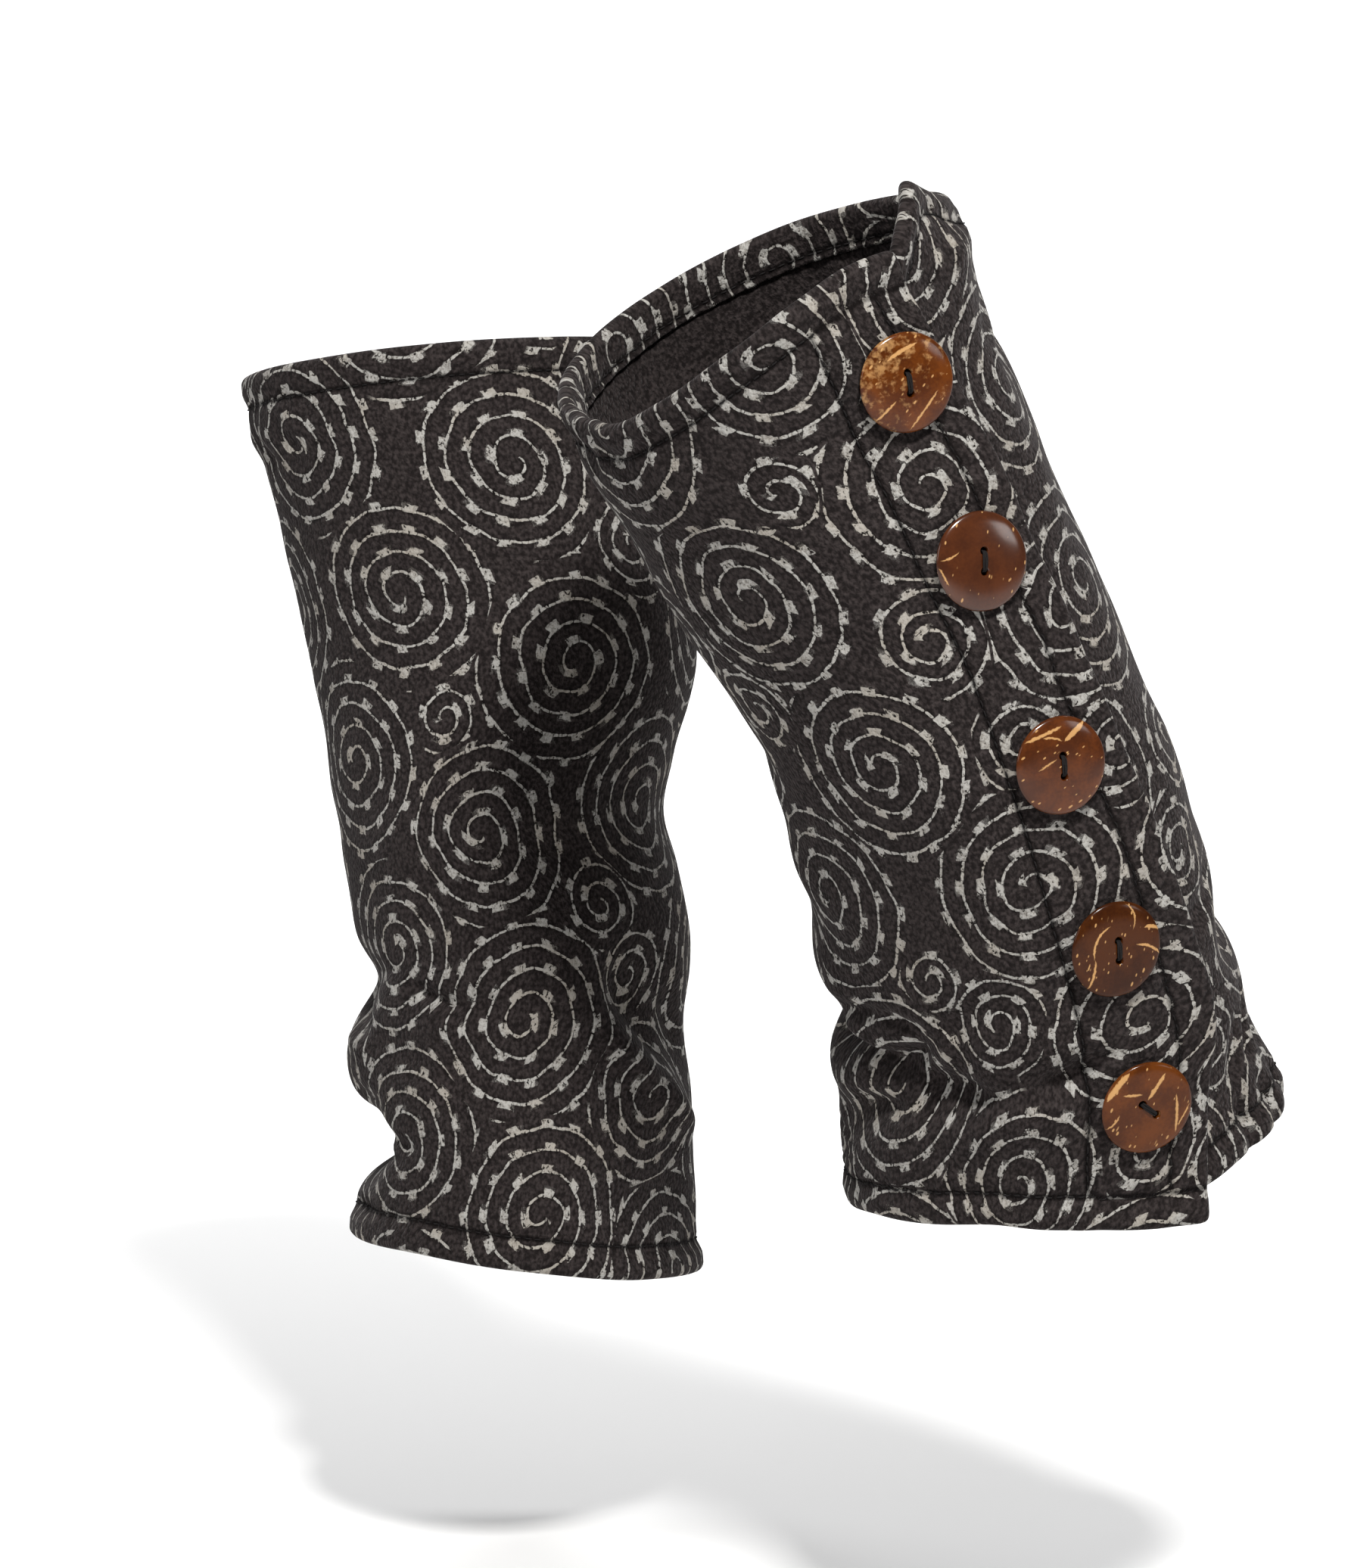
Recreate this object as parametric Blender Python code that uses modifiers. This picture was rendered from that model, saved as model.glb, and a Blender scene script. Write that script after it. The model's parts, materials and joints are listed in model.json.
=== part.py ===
"""A pair of worn fleece leg warmers, each a strip of cloth wrapped round and buttoned at its outer side.

The strip is followed by its turn, in degrees. Turn 0 is the outer side, 90 the front, 180 the inner side
and 270 the back. It starts at the placket's free edge, a little behind the outer side, runs forward all
the way round and ends under the placket. Heights run along each tube's own axis.
The front faces -X, the left tube lies on the -Y side and the right one on the +Y side. The origin is the
middle between the two tubes, where they are held. Everything is in metres and degrees.
"""

import math
from collections import namedtuple

import bmesh
import bpy
import numpy as np
from mathutils import Matrix, Vector

# Cloth and cut
GIRTH = 0.388  # round the buttoned tube, in the middle of the wall
MEAN_RADIUS = GIRTH / (2 * math.pi)
CLOTH = 0.0022  # one layer of fleece
GAP = 0.0003  # between neighbouring pieces
HEM_DEPTH = 0.0105  # from the folded edge to the line of stitches
HEM_BULK = 0.0048  # the turned hem is two soft layers
PLACKET_BULK = 0.0046  # the turned front edge is two layers as well
LAP_STEP = 0.0028  # the upper layer of the lap stands out by this, the lower one goes in by it
LAP_LIFT = 0.0045  # the stiff placket lifts off by this much more at its free edge

# Where the strip starts and ends, in degrees round the tube
FREE_EDGE = -47.5
PLACKET_LINE = -14.5  # the placket's stitches on the panel's side
UNDERLAP_END = 346.0
LAP_RISE = (30.0, -4.0)  # the front panel climbs onto the lap over this stretch
LAP_DIP = (284.0, 306.0)  # the back panel goes under it over this one
SWING_END = 40.0  # the placket's sideways swing has died out here

# Rounding of the turned edges: how far in from the fold, and the share of the full bulk there
PLACKET_PROFILE = (
    (0.00, 0.22),
    (0.03, 0.72),
    (0.14, 1.00),
    (0.32, 0.88),
    (0.62, 1.00),
    (0.92, 0.94),
    (1.00, 0.72),
)
HEM_PROFILE = ((0.00, 0.30), (0.12, 0.78), (0.45, 1.00), (1.00, 0.62))

# Buttons
BUTTON_RADIUS = 0.0140
BUTTON_THICKNESS = 0.0036
BUTTON_PROFILE = (  # from the middle of the face to the middle of the back: shares of radius and thickness
    (0.00, 1.00),
    (0.55, 0.94),
    (0.86, 0.75),
    (0.97, 0.57),
    (1.00, 0.42),
    (0.88, 0.00),
    (0.00, 0.00),
)
HOLE_RADIUS = 0.0011
HOLE_SPACING = 0.0058
CUTTER_LENGTH = 0.012
SEAT_REACH = 0.9  # the button meets the cloth this far out, as a share of its radius
SEAT_GAP = 0.0006  # under the button, which its thread holds just off the cloth
SEAT_POINTS = 12  # places round the button where the cloth under it is felt

# How finely the cloth is divided
STEPS_ROUND = 52
LOW_ROWS = 14
HIGH_ROWS = 7
FOLDED_SHARE = 0.42  # the folds lie below this share of the height
BUTTON_STEPS = 18
HOLE_STEPS = 6
SMOOTH_ANGLE = math.radians(50)  # sharper corners than this stay hard

FOLD_TAPER = (0.35, 1.15)  # a fold dies out between these shares of the way to its ends

Section = namedtuple("Section", "height back half_depth")
Edge = namedtuple("Edge", "turn rise")
Button = namedtuple("Button", "height turn spin")
Swing = namedtuple("Swing", "height edge line")
Fold = namedtuple("Fold", "turn_a height_a turn_b height_b width depth")
Leg = namedtuple("Leg", "name side middle lean_forward lean_out length sections top foot swings folds")

BUTTONS = (  # from the top down, each turned until its two holes lie as sewn
    Button(0.915, -32.5, -18.0),
    Button(0.716, -29.5, -25.0),
    Button(0.490, -28.0, -17.0),
    Button(0.281, -26.5, -14.0),
    Button(0.098, -28.0, 54.0),
)

LEFT = Leg(
    name="left",
    side=-1,
    middle=(0.0652, -0.0796, 0.0241),
    lean_forward=19.5,
    lean_out=10.1,
    length=0.276,
    sections=[
        Section(0.00, 0.0015, 0.0645),
        Section(0.05, 0.0015, 0.0635),
        Section(0.12, 0.0050, 0.0615),
        Section(0.20, 0.0095, 0.0585),
        Section(0.30, 0.0120, 0.0565),
        Section(0.40, 0.0130, 0.0560),
        Section(0.50, 0.0125, 0.0545),
        Section(0.60, 0.0100, 0.0550),
        Section(0.70, 0.0045, 0.0575),
        Section(0.80, 0.0020, 0.0590),
        Section(0.90, -0.0015, 0.0610),
        Section(1.00, -0.0015, 0.0605),
    ],
    top=[
        Edge(-47.5, 0.0115),
        Edge(-35.0, 0.0125),
        Edge(-15.0, 0.0090),
        Edge(6.0, 0.0015),
        Edge(30.0, -0.0080),
        Edge(52.0, -0.0135),
        Edge(90.0, -0.0100),
        Edge(180.0, 0.0000),
        Edge(255.0, 0.0060),
        Edge(276.0, 0.0120),
        Edge(294.0, 0.0215),
        Edge(305.0, 0.0140),
        Edge(314.0, 0.0050),
        Edge(325.0, -0.0060),
        Edge(346.0, -0.0120),
    ],
    foot=[
        Edge(-47.5, -0.0160),
        Edge(-31.0, -0.0111),
        Edge(-2.0, -0.0012),
        Edge(20.0, 0.0036),
        Edge(55.0, 0.0058),
        Edge(90.0, 0.0012),
        Edge(180.0, -0.0030),
        Edge(270.0, -0.0100),
        Edge(317.0, -0.0105),
        Edge(346.0, -0.0085),
    ],
    swings=[
        Swing(-0.06, 17.5, 14.5),
        Swing(0.00, 13.0, 11.0),
        Swing(0.08, 5.0, 6.0),
        Swing(0.15, -1.0, 4.0),
        Swing(0.30, 0.0, 4.0),
        Swing(0.50, 2.0, 2.0),
        Swing(0.70, 0.0, -2.0),
        Swing(0.90, 3.0, -1.0),
        Swing(1.00, 7.0, 1.0),
    ],
    folds=[
        Fold(120, 0.300, 55, 0.275, 0.012, 0.0035),
        Fold(115, 0.240, 60, 0.212, 0.008, -0.0080),
        Fold(58, 0.197, 14, 0.185, 0.008, -0.0060),
        Fold(18, 0.183, -16, 0.146, 0.008, -0.0040),
        Fold(112, 0.180, 58, 0.166, 0.010, 0.0030),
        Fold(92, 0.110, 44, 0.153, 0.007, -0.0035),
        Fold(48, 0.154, 16, 0.154, 0.007, -0.0025),
        Fold(240, 0.215, 292, 0.170, 0.009, -0.0040),
        Fold(150, 0.190, 215, 0.235, 0.010, -0.0045),
        Fold(165, 0.110, 235, 0.130, 0.009, -0.0030),
        Fold(250, 1.090, 300, 1.090, 0.016, -0.0065),
        Fold(255, 0.985, 300, 0.985, 0.006, 0.0025),
        Fold(245, 0.000, 300, 0.000, 0.010, 0.0018),
    ],
)

RIGHT = Leg(
    name="right",
    side=1,
    middle=(-0.0644, 0.080, -0.0264),
    lean_forward=5.0,
    lean_out=8.4,
    length=0.287,
    sections=[
        Section(0.00, -0.0005, 0.0550),
        Section(0.10, 0.0030, 0.0535),
        Section(0.24, 0.0040, 0.0530),
        Section(0.30, 0.0065, 0.0535),
        Section(0.36, 0.0080, 0.0530),
        Section(0.42, 0.0070, 0.0520),
        Section(0.48, 0.0045, 0.0510),
        Section(0.54, 0.0060, 0.0540),
        Section(0.60, 0.0090, 0.0575),
        Section(0.66, 0.0100, 0.0605),
        Section(0.80, 0.0060, 0.0615),
        Section(0.90, 0.0020, 0.0615),
        Section(0.935, 0.0000, 0.0635),
        Section(1.00, 0.0000, 0.0640),
    ],
    top=[
        Edge(-47.5, -0.0020),
        Edge(-35.0, 0.0030),
        Edge(0.0, 0.0020),
        Edge(45.0, 0.0010),
        Edge(90.0, 0.0008),
        Edge(180.0, 0.0024),
        Edge(250.0, 0.0014),
        Edge(290.0, 0.0040),
        Edge(320.0, -0.0040),
        Edge(346.0, -0.0070),
    ],
    foot=[
        Edge(-47.5, -0.0075),
        Edge(-31.0, -0.0060),
        Edge(0.0, 0.0010),
        Edge(45.0, 0.0070),
        Edge(90.0, 0.0105),
        Edge(135.0, 0.0080),
        Edge(180.0, 0.0000),
        Edge(225.0, -0.0080),
        Edge(270.0, -0.0108),
        Edge(317.0, -0.0075),
        Edge(346.0, -0.0055),
    ],
    swings=[
        Swing(0.00, 6.0, 6.0),
        Swing(0.10, 2.0, 3.0),
        Swing(0.20, 0.0, 2.0),
        Swing(0.80, 0.0, -1.0),
        Swing(1.00, 3.0, 0.0),
    ],
    folds=[
        Fold(52, 0.330, 128, 0.312, 0.010, -0.0075),
        Fold(45, 0.142, 128, 0.144, 0.0095, -0.0190),
        Fold(55, 0.230, 120, 0.236, 0.012, 0.0015),
        Fold(193, 0.300, 258, 0.120, 0.008, 0.0040),
        Fold(206, 0.335, 266, 0.190, 0.011, -0.0045),
        Fold(300, 0.230, 352, 0.290, 0.010, -0.0040),
        Fold(330, 0.130, 382, 0.170, 0.009, -0.0035),
    ],
)

LEGS = (LEFT, RIGHT)

# Finishes, the colours as rough linear values
FLEECE_COLOUR = (0.030, 0.027, 0.026, 1.0)
HEM_COLOUR = (0.026, 0.023, 0.022, 1.0)
FLEECE_ROUGHNESS = 0.95
SHELL_COLOUR = (0.150, 0.055, 0.018, 1.0)
SHELL_ROUGHNESS = 0.25


def smooth(rows, at):
    """The row table's second and later columns at the places given, on a curve with no overshoot."""
    table = np.array(rows, dtype=float)
    x = table[:, 0]
    steps = np.diff(x)
    at = np.clip(at, x[0], x[-1])
    span = np.clip(np.searchsorted(x, at, side="right") - 1, 0, len(x) - 2)
    t = (at - x[span]) / steps[span]
    columns = []
    for y in table[:, 1:].T:
        slope = np.diff(y) / steps
        tangent = np.zeros(len(x))
        inner = slope[:-1] * slope[1:] > 0
        tangent[1:-1][inner] = 2 * slope[:-1][inner] * slope[1:][inner] / (slope[:-1] + slope[1:])[inner]
        tangent[0], tangent[-1] = slope[0], slope[-1]
        columns.append(
            (2 * t**3 - 3 * t**2 + 1) * y[span]
            + (t**3 - 2 * t**2 + t) * steps[span] * tangent[span]
            + (3 * t**2 - 2 * t**3) * y[span + 1]
            + (t**3 - t**2) * steps[span] * tangent[span + 1]
        )
    return columns


def ease(value, start, end):
    """0 before start, 1 after end, with a soft change between."""
    t = np.clip((value - start) / (end - start), 0.0, 1.0)
    return t * t * (3 - 2 * t)


def leg_frame(leg):
    """The tube's own directions: forwards, outwards and up along its axis."""
    up = Vector(
        (
            -math.tan(math.radians(leg.lean_forward)),
            leg.side * math.tan(math.radians(leg.lean_out)),
            1.0,
        )
    ).normalized()
    forward = Vector((-1.0, 0.0, 0.0))
    forward = (forward - forward.dot(up) * up).normalized()
    outward = -leg.side * up.cross(forward)
    return forward, outward, up


def fold_depth(leg, angle, share):
    """How far the folds move the wall out, at an angle round the tube and a share of the height."""
    moved = np.zeros(np.broadcast(angle, share).shape)
    for fold in leg.folds:
        middle = (fold.turn_a + fold.turn_b) / 2
        near = (np.asarray(angle) - middle + 180) % 360 - 180
        x = np.radians(near) * MEAN_RADIUS
        y = (share - (fold.height_a + fold.height_b) / 2) * leg.length
        half = np.array(
            [
                math.radians(fold.turn_b - fold.turn_a) * MEAN_RADIUS / 2,
                (fold.height_b - fold.height_a) * leg.length / 2,
            ]
        )
        reach = np.linalg.norm(half)
        along = (x * half[0] + y * half[1]) / reach**2
        across = (x * half[1] - y * half[0]) / reach
        taper = 1 - ease(np.abs(along), *FOLD_TAPER)
        moved = moved + fold.depth * taper * np.exp(-((across / fold.width) ** 2))
    return moved


def lap_step(turn):
    """The upper layer of the lap lies outside the wall's middle, and the lower one inside."""
    step = LAP_STEP * (ease(-np.asarray(turn), -LAP_RISE[0], -LAP_RISE[1]) - ease(turn, *LAP_DIP))
    beyond = np.clip((PLACKET_LINE - turn) / (PLACKET_LINE - FREE_EDGE), 0, None)
    return step + LAP_LIFT * beyond**2


def swung(leg, turn, share):
    """The angle round the tube at which a turn of the strip lies, since the placket swings aside."""
    edge, line = smooth(leg.swings, share)
    across = np.clip((turn - FREE_EDGE) / (PLACKET_LINE - FREE_EDGE), 0, 1)
    return turn + (edge + across * (line - edge)) * (1 - ease(turn, PLACKET_LINE, SWING_END))


def edge_heights(leg, turn):
    """Heights of the foot edge and the top edge along the tube's axis, from the foot ring."""
    foot = smooth(leg.foot, turn)[0]
    top = smooth(leg.top, turn)[0]
    return foot, leg.length + top


def wall_points(leg, turn, height, out):
    """Points of the cloth at a turn and a height along the axis, and out from the wall's middle."""
    turn, height, out = np.broadcast_arrays(
        np.asarray(turn, float), np.asarray(height, float), np.asarray(out, float)
    )
    share = height / leg.length
    back, half_depth = smooth(leg.sections, np.clip(share, 0, 1))
    half_width = np.sqrt(2 * MEAN_RADIUS**2 - half_depth**2)
    angle = swung(leg, turn, share)
    sine, cosine = np.sin(np.radians(angle)), np.cos(np.radians(angle))
    normal_f, normal_s = sine / half_depth, cosine / half_width
    size = np.hypot(normal_f, normal_s)
    off = out + lap_step(turn) + fold_depth(leg, angle, share)
    f = half_depth * sine - back + off * normal_f / size
    s = half_width * cosine + off * normal_s / size
    forward, outward, up = (np.array(v) for v in leg_frame(leg))
    middle = np.array(leg.middle) - up * leg.length / 2
    return middle + f[..., None] * forward + s[..., None] * outward + height[..., None] * up


def strip_solid(name, loops):
    """A closed solid swept through loops of points, each an outer run and the inner run back."""
    loops = np.asarray(loops)
    count, size = loops.shape[:2]
    faces = []
    for i in range(count - 1):
        for j in range(size):
            k = (j + 1) % size
            faces.append((i * size + j, i * size + k, (i + 1) * size + k, (i + 1) * size + j))
    for first, turned in ((0, True), ((count - 1) * size, False)):
        for j in range(size // 2 - 1):
            cap = (first + j, first + j + 1, first + size - 2 - j, first + size - 1 - j)
            faces.append(cap[::-1] if turned else cap)
    mesh = bpy.data.meshes.new(name)
    mesh.from_pydata([tuple(p) for p in loops.reshape(-1, 3)], [], faces)
    shape = bmesh.new()
    shape.from_mesh(mesh)
    bmesh.ops.recalc_face_normals(shape, faces=shape.faces)
    shape.to_mesh(mesh)
    shape.free()
    mesh.shade_smooth()
    mesh.set_sharp_from_angle(angle=SMOOTH_ANGLE)
    return bpy.data.objects.new(name, mesh)


def panel_turns():
    """The turns at which the body of the strip is divided, the same for the panel and its hems."""
    start = PLACKET_LINE + math.degrees(GAP / MEAN_RADIUS)
    return np.linspace(start, UNDERLAP_END, STEPS_ROUND + 1)


def placket_turns():
    """The turns at which the placket and the hems over it are divided."""
    return np.array([FREE_EDGE + share * (PLACKET_LINE - FREE_EDGE) for share, _ in PLACKET_PROFILE])


def wall_rows():
    """Shares of the height between the hems, closer together where the folds lie."""
    low = np.linspace(0, FOLDED_SHARE, LOW_ROWS + 1)
    high = np.linspace(FOLDED_SHARE, 1, HIGH_ROWS + 1)
    return np.concatenate([low, high[1:]])


def between_hems(leg, turn):
    """Heights of the two stitch lines that part the wall from its hems."""
    foot, top = edge_heights(leg, turn)
    return foot + HEM_DEPTH + GAP / 2, top - HEM_DEPTH - GAP / 2


def make_panel(leg):
    """The body of the strip, from the placket's stitches round to the end under the placket."""
    loops = []
    for turn in panel_turns():
        low, high = between_hems(leg, turn)
        heights = low + wall_rows() * (high - low)
        outer = wall_points(leg, turn, heights, CLOTH / 2)
        inner = wall_points(leg, turn, heights, -CLOTH / 2)
        loops.append(np.concatenate([outer, inner[::-1]]))
    return strip_solid(f"{leg.name}_panel", loops)


def make_placket(leg):
    """The turned front edge, two layers thick, with its fold rounded and dips at its two stitch lines."""
    turns = placket_turns()
    bulks = np.array([bulk for _, bulk in PLACKET_PROFILE]) * PLACKET_BULK / 2
    low, high = between_hems(leg, turns)
    loops = []
    for share in wall_rows():
        heights = low + share * (high - low)
        outer = wall_points(leg, turns, heights, bulks)
        inner = wall_points(leg, turns, heights, -bulks)
        loops.append(np.concatenate([outer, inner[::-1]]))
    return strip_solid(f"{leg.name}_placket", loops)


def make_hem(leg, at_top):
    """A turned hem round the whole strip, with a full folded edge and a dip at its stitches."""
    loops = []
    for turn in np.concatenate([placket_turns(), panel_turns()[1:]]):
        foot, top = edge_heights(leg, turn)
        edge, inwards = (top, -1) if at_top else (foot, 1)
        heights = np.array([edge + inwards * share * (HEM_DEPTH - GAP / 2) for share, _ in HEM_PROFILE])
        bulks = np.array([bulk for _, bulk in HEM_PROFILE]) * HEM_BULK / 2
        outer = wall_points(leg, turn, heights, bulks)
        inner = wall_points(leg, turn, heights, -bulks)
        loops.append(np.concatenate([outer, inner[::-1]]))
    place = "top" if at_top else "foot"
    return strip_solid(f"{leg.name}_{place}_hem", loops)


def button_seat(leg, row):
    """The place of a button's back face on the placket, and the directions up and out of it."""
    height = row.height * leg.length
    surface = PLACKET_BULK / 2 + SEAT_GAP
    reach = BUTTON_RADIUS * SEAT_REACH
    middle = wall_points(leg, row.turn, height, surface)
    around = np.linspace(0, 2 * np.pi, SEAT_POINTS, endpoint=False)
    ring = wall_points(
        leg,
        row.turn + np.degrees(reach * np.cos(around) / MEAN_RADIUS),
        height + reach * np.sin(around),
        surface,
    )
    quarter = SEAT_POINTS // 4
    up = Vector(ring[quarter] - ring[3 * quarter]).normalized()
    before = Vector(ring[0] - ring[2 * quarter])
    out = up.cross(before).normalized() * -leg.side
    highest = max(0.0, float(max((ring - middle) @ np.array(out))))
    return Vector(middle) + highest * out, up, out


def make_button(leg, number, row, mesh):
    """A button lying on the placket, turned so that its two holes lie as sewn."""
    seat, up, out = button_seat(leg, row)
    button = bpy.data.objects.new(f"{leg.name}_button_{number}", mesh)
    facing = Matrix((up.cross(out), up, out)).transposed().to_4x4()
    spin = Matrix.Rotation(-leg.side * math.radians(row.spin), 4, "Z")
    button.matrix_world = Matrix.Translation(seat) @ facing @ spin
    return button


def button_mesh(cutters):
    """A turned shell disc with its two sewing holes cut through, as a mesh to share."""
    mesh = bpy.data.meshes.new("button_profile")
    points = [(out * BUTTON_RADIUS, 0.0, up * BUTTON_THICKNESS) for out, up in BUTTON_PROFILE]
    mesh.from_pydata(points, [(i, i + 1) for i in range(len(points) - 1)], [])
    disc = bpy.data.objects.new("button_disc", mesh)
    bpy.context.scene.collection.objects.link(disc)
    screw = disc.modifiers.new("turn", "SCREW")
    screw.steps = screw.render_steps = BUTTON_STEPS
    screw.use_merge_vertices = True
    screw.merge_threshold = 0.00001
    screw.use_normal_calculate = True
    for sign in (-1, 1):
        bpy.ops.mesh.primitive_cylinder_add(
            vertices=HOLE_STEPS,
            radius=HOLE_RADIUS,
            depth=CUTTER_LENGTH,
            location=(0.0, sign * HOLE_SPACING / 2, BUTTON_THICKNESS / 2),
        )
        cutter = bpy.context.object
        cutter.name = "hole_cutter_upper" if sign > 0 else "hole_cutter_lower"
        cutter.hide_render = True
        cutter.display_type = "WIRE"
        for collection in list(cutter.users_collection):
            collection.objects.unlink(cutter)
        cutters.objects.link(cutter)
        cut = disc.modifiers.new("hole", "BOOLEAN")
        cut.object = cutter
        cut.operation = "DIFFERENCE"
    bpy.context.view_layer.update()
    evaluated = disc.evaluated_get(bpy.context.evaluated_depsgraph_get())
    shared = bpy.data.meshes.new_from_object(evaluated)
    shared.name = "button"
    shared.shade_smooth()
    shared.set_sharp_from_angle(angle=SMOOTH_ANGLE)
    bpy.data.objects.remove(disc)
    return shared


def make_material(name, colour, roughness):
    """A plain finish with the piece's colour."""
    material = bpy.data.materials.new(name)
    material.use_nodes = True
    shader = material.node_tree.nodes["Principled BSDF"]
    shader.inputs["Base Color"].default_value = colour
    shader.inputs["Roughness"].default_value = roughness
    shader.inputs["Metallic"].default_value = 0.0
    return material


def new_collection(name):
    """A collection in the scene."""
    collection = bpy.data.collections.new(name)
    bpy.context.scene.collection.children.link(collection)
    return collection


def add_piece(collection, piece, colour, roughness):
    """Put a piece in the collection with a finish of its own, also where it shares its mesh."""
    collection.objects.link(piece)
    if not piece.data.materials:
        piece.data.materials.append(None)
    piece.material_slots[0].link = "OBJECT"
    piece.material_slots[0].material = make_material(f"{piece.name}_finish", colour, roughness)


def main():
    """Build both leg warmers."""
    for old in list(bpy.data.objects):
        bpy.data.objects.remove(old)
    parts = new_collection("leg_warmers")
    cutters = new_collection("cutters")
    shell = button_mesh(cutters)
    for leg in LEGS:
        add_piece(parts, make_panel(leg), FLEECE_COLOUR, FLEECE_ROUGHNESS)
        add_piece(parts, make_placket(leg), FLEECE_COLOUR, FLEECE_ROUGHNESS)
        add_piece(parts, make_hem(leg, at_top=True), HEM_COLOUR, FLEECE_ROUGHNESS)
        add_piece(parts, make_hem(leg, at_top=False), HEM_COLOUR, FLEECE_ROUGHNESS)
        for number, row in enumerate(BUTTONS, start=1):
            add_piece(parts, make_button(leg, number, row, shell), SHELL_COLOUR, SHELL_ROUGHNESS)


main()
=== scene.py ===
"""A pair of worn fleece leg warmers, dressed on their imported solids.

Each one is a strip of printed fleece, wrapped round the calf and buttoned at its outer side. A place on the
strip is given by its turn, in degrees round the tube, and its height along the tube's own axis. Turn 0 is
the outer side, 90 the front, 180 the inner side and 270 the back. The front faces -X and the left tube lies
at -Y. Lengths are in metres.
"""

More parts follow.
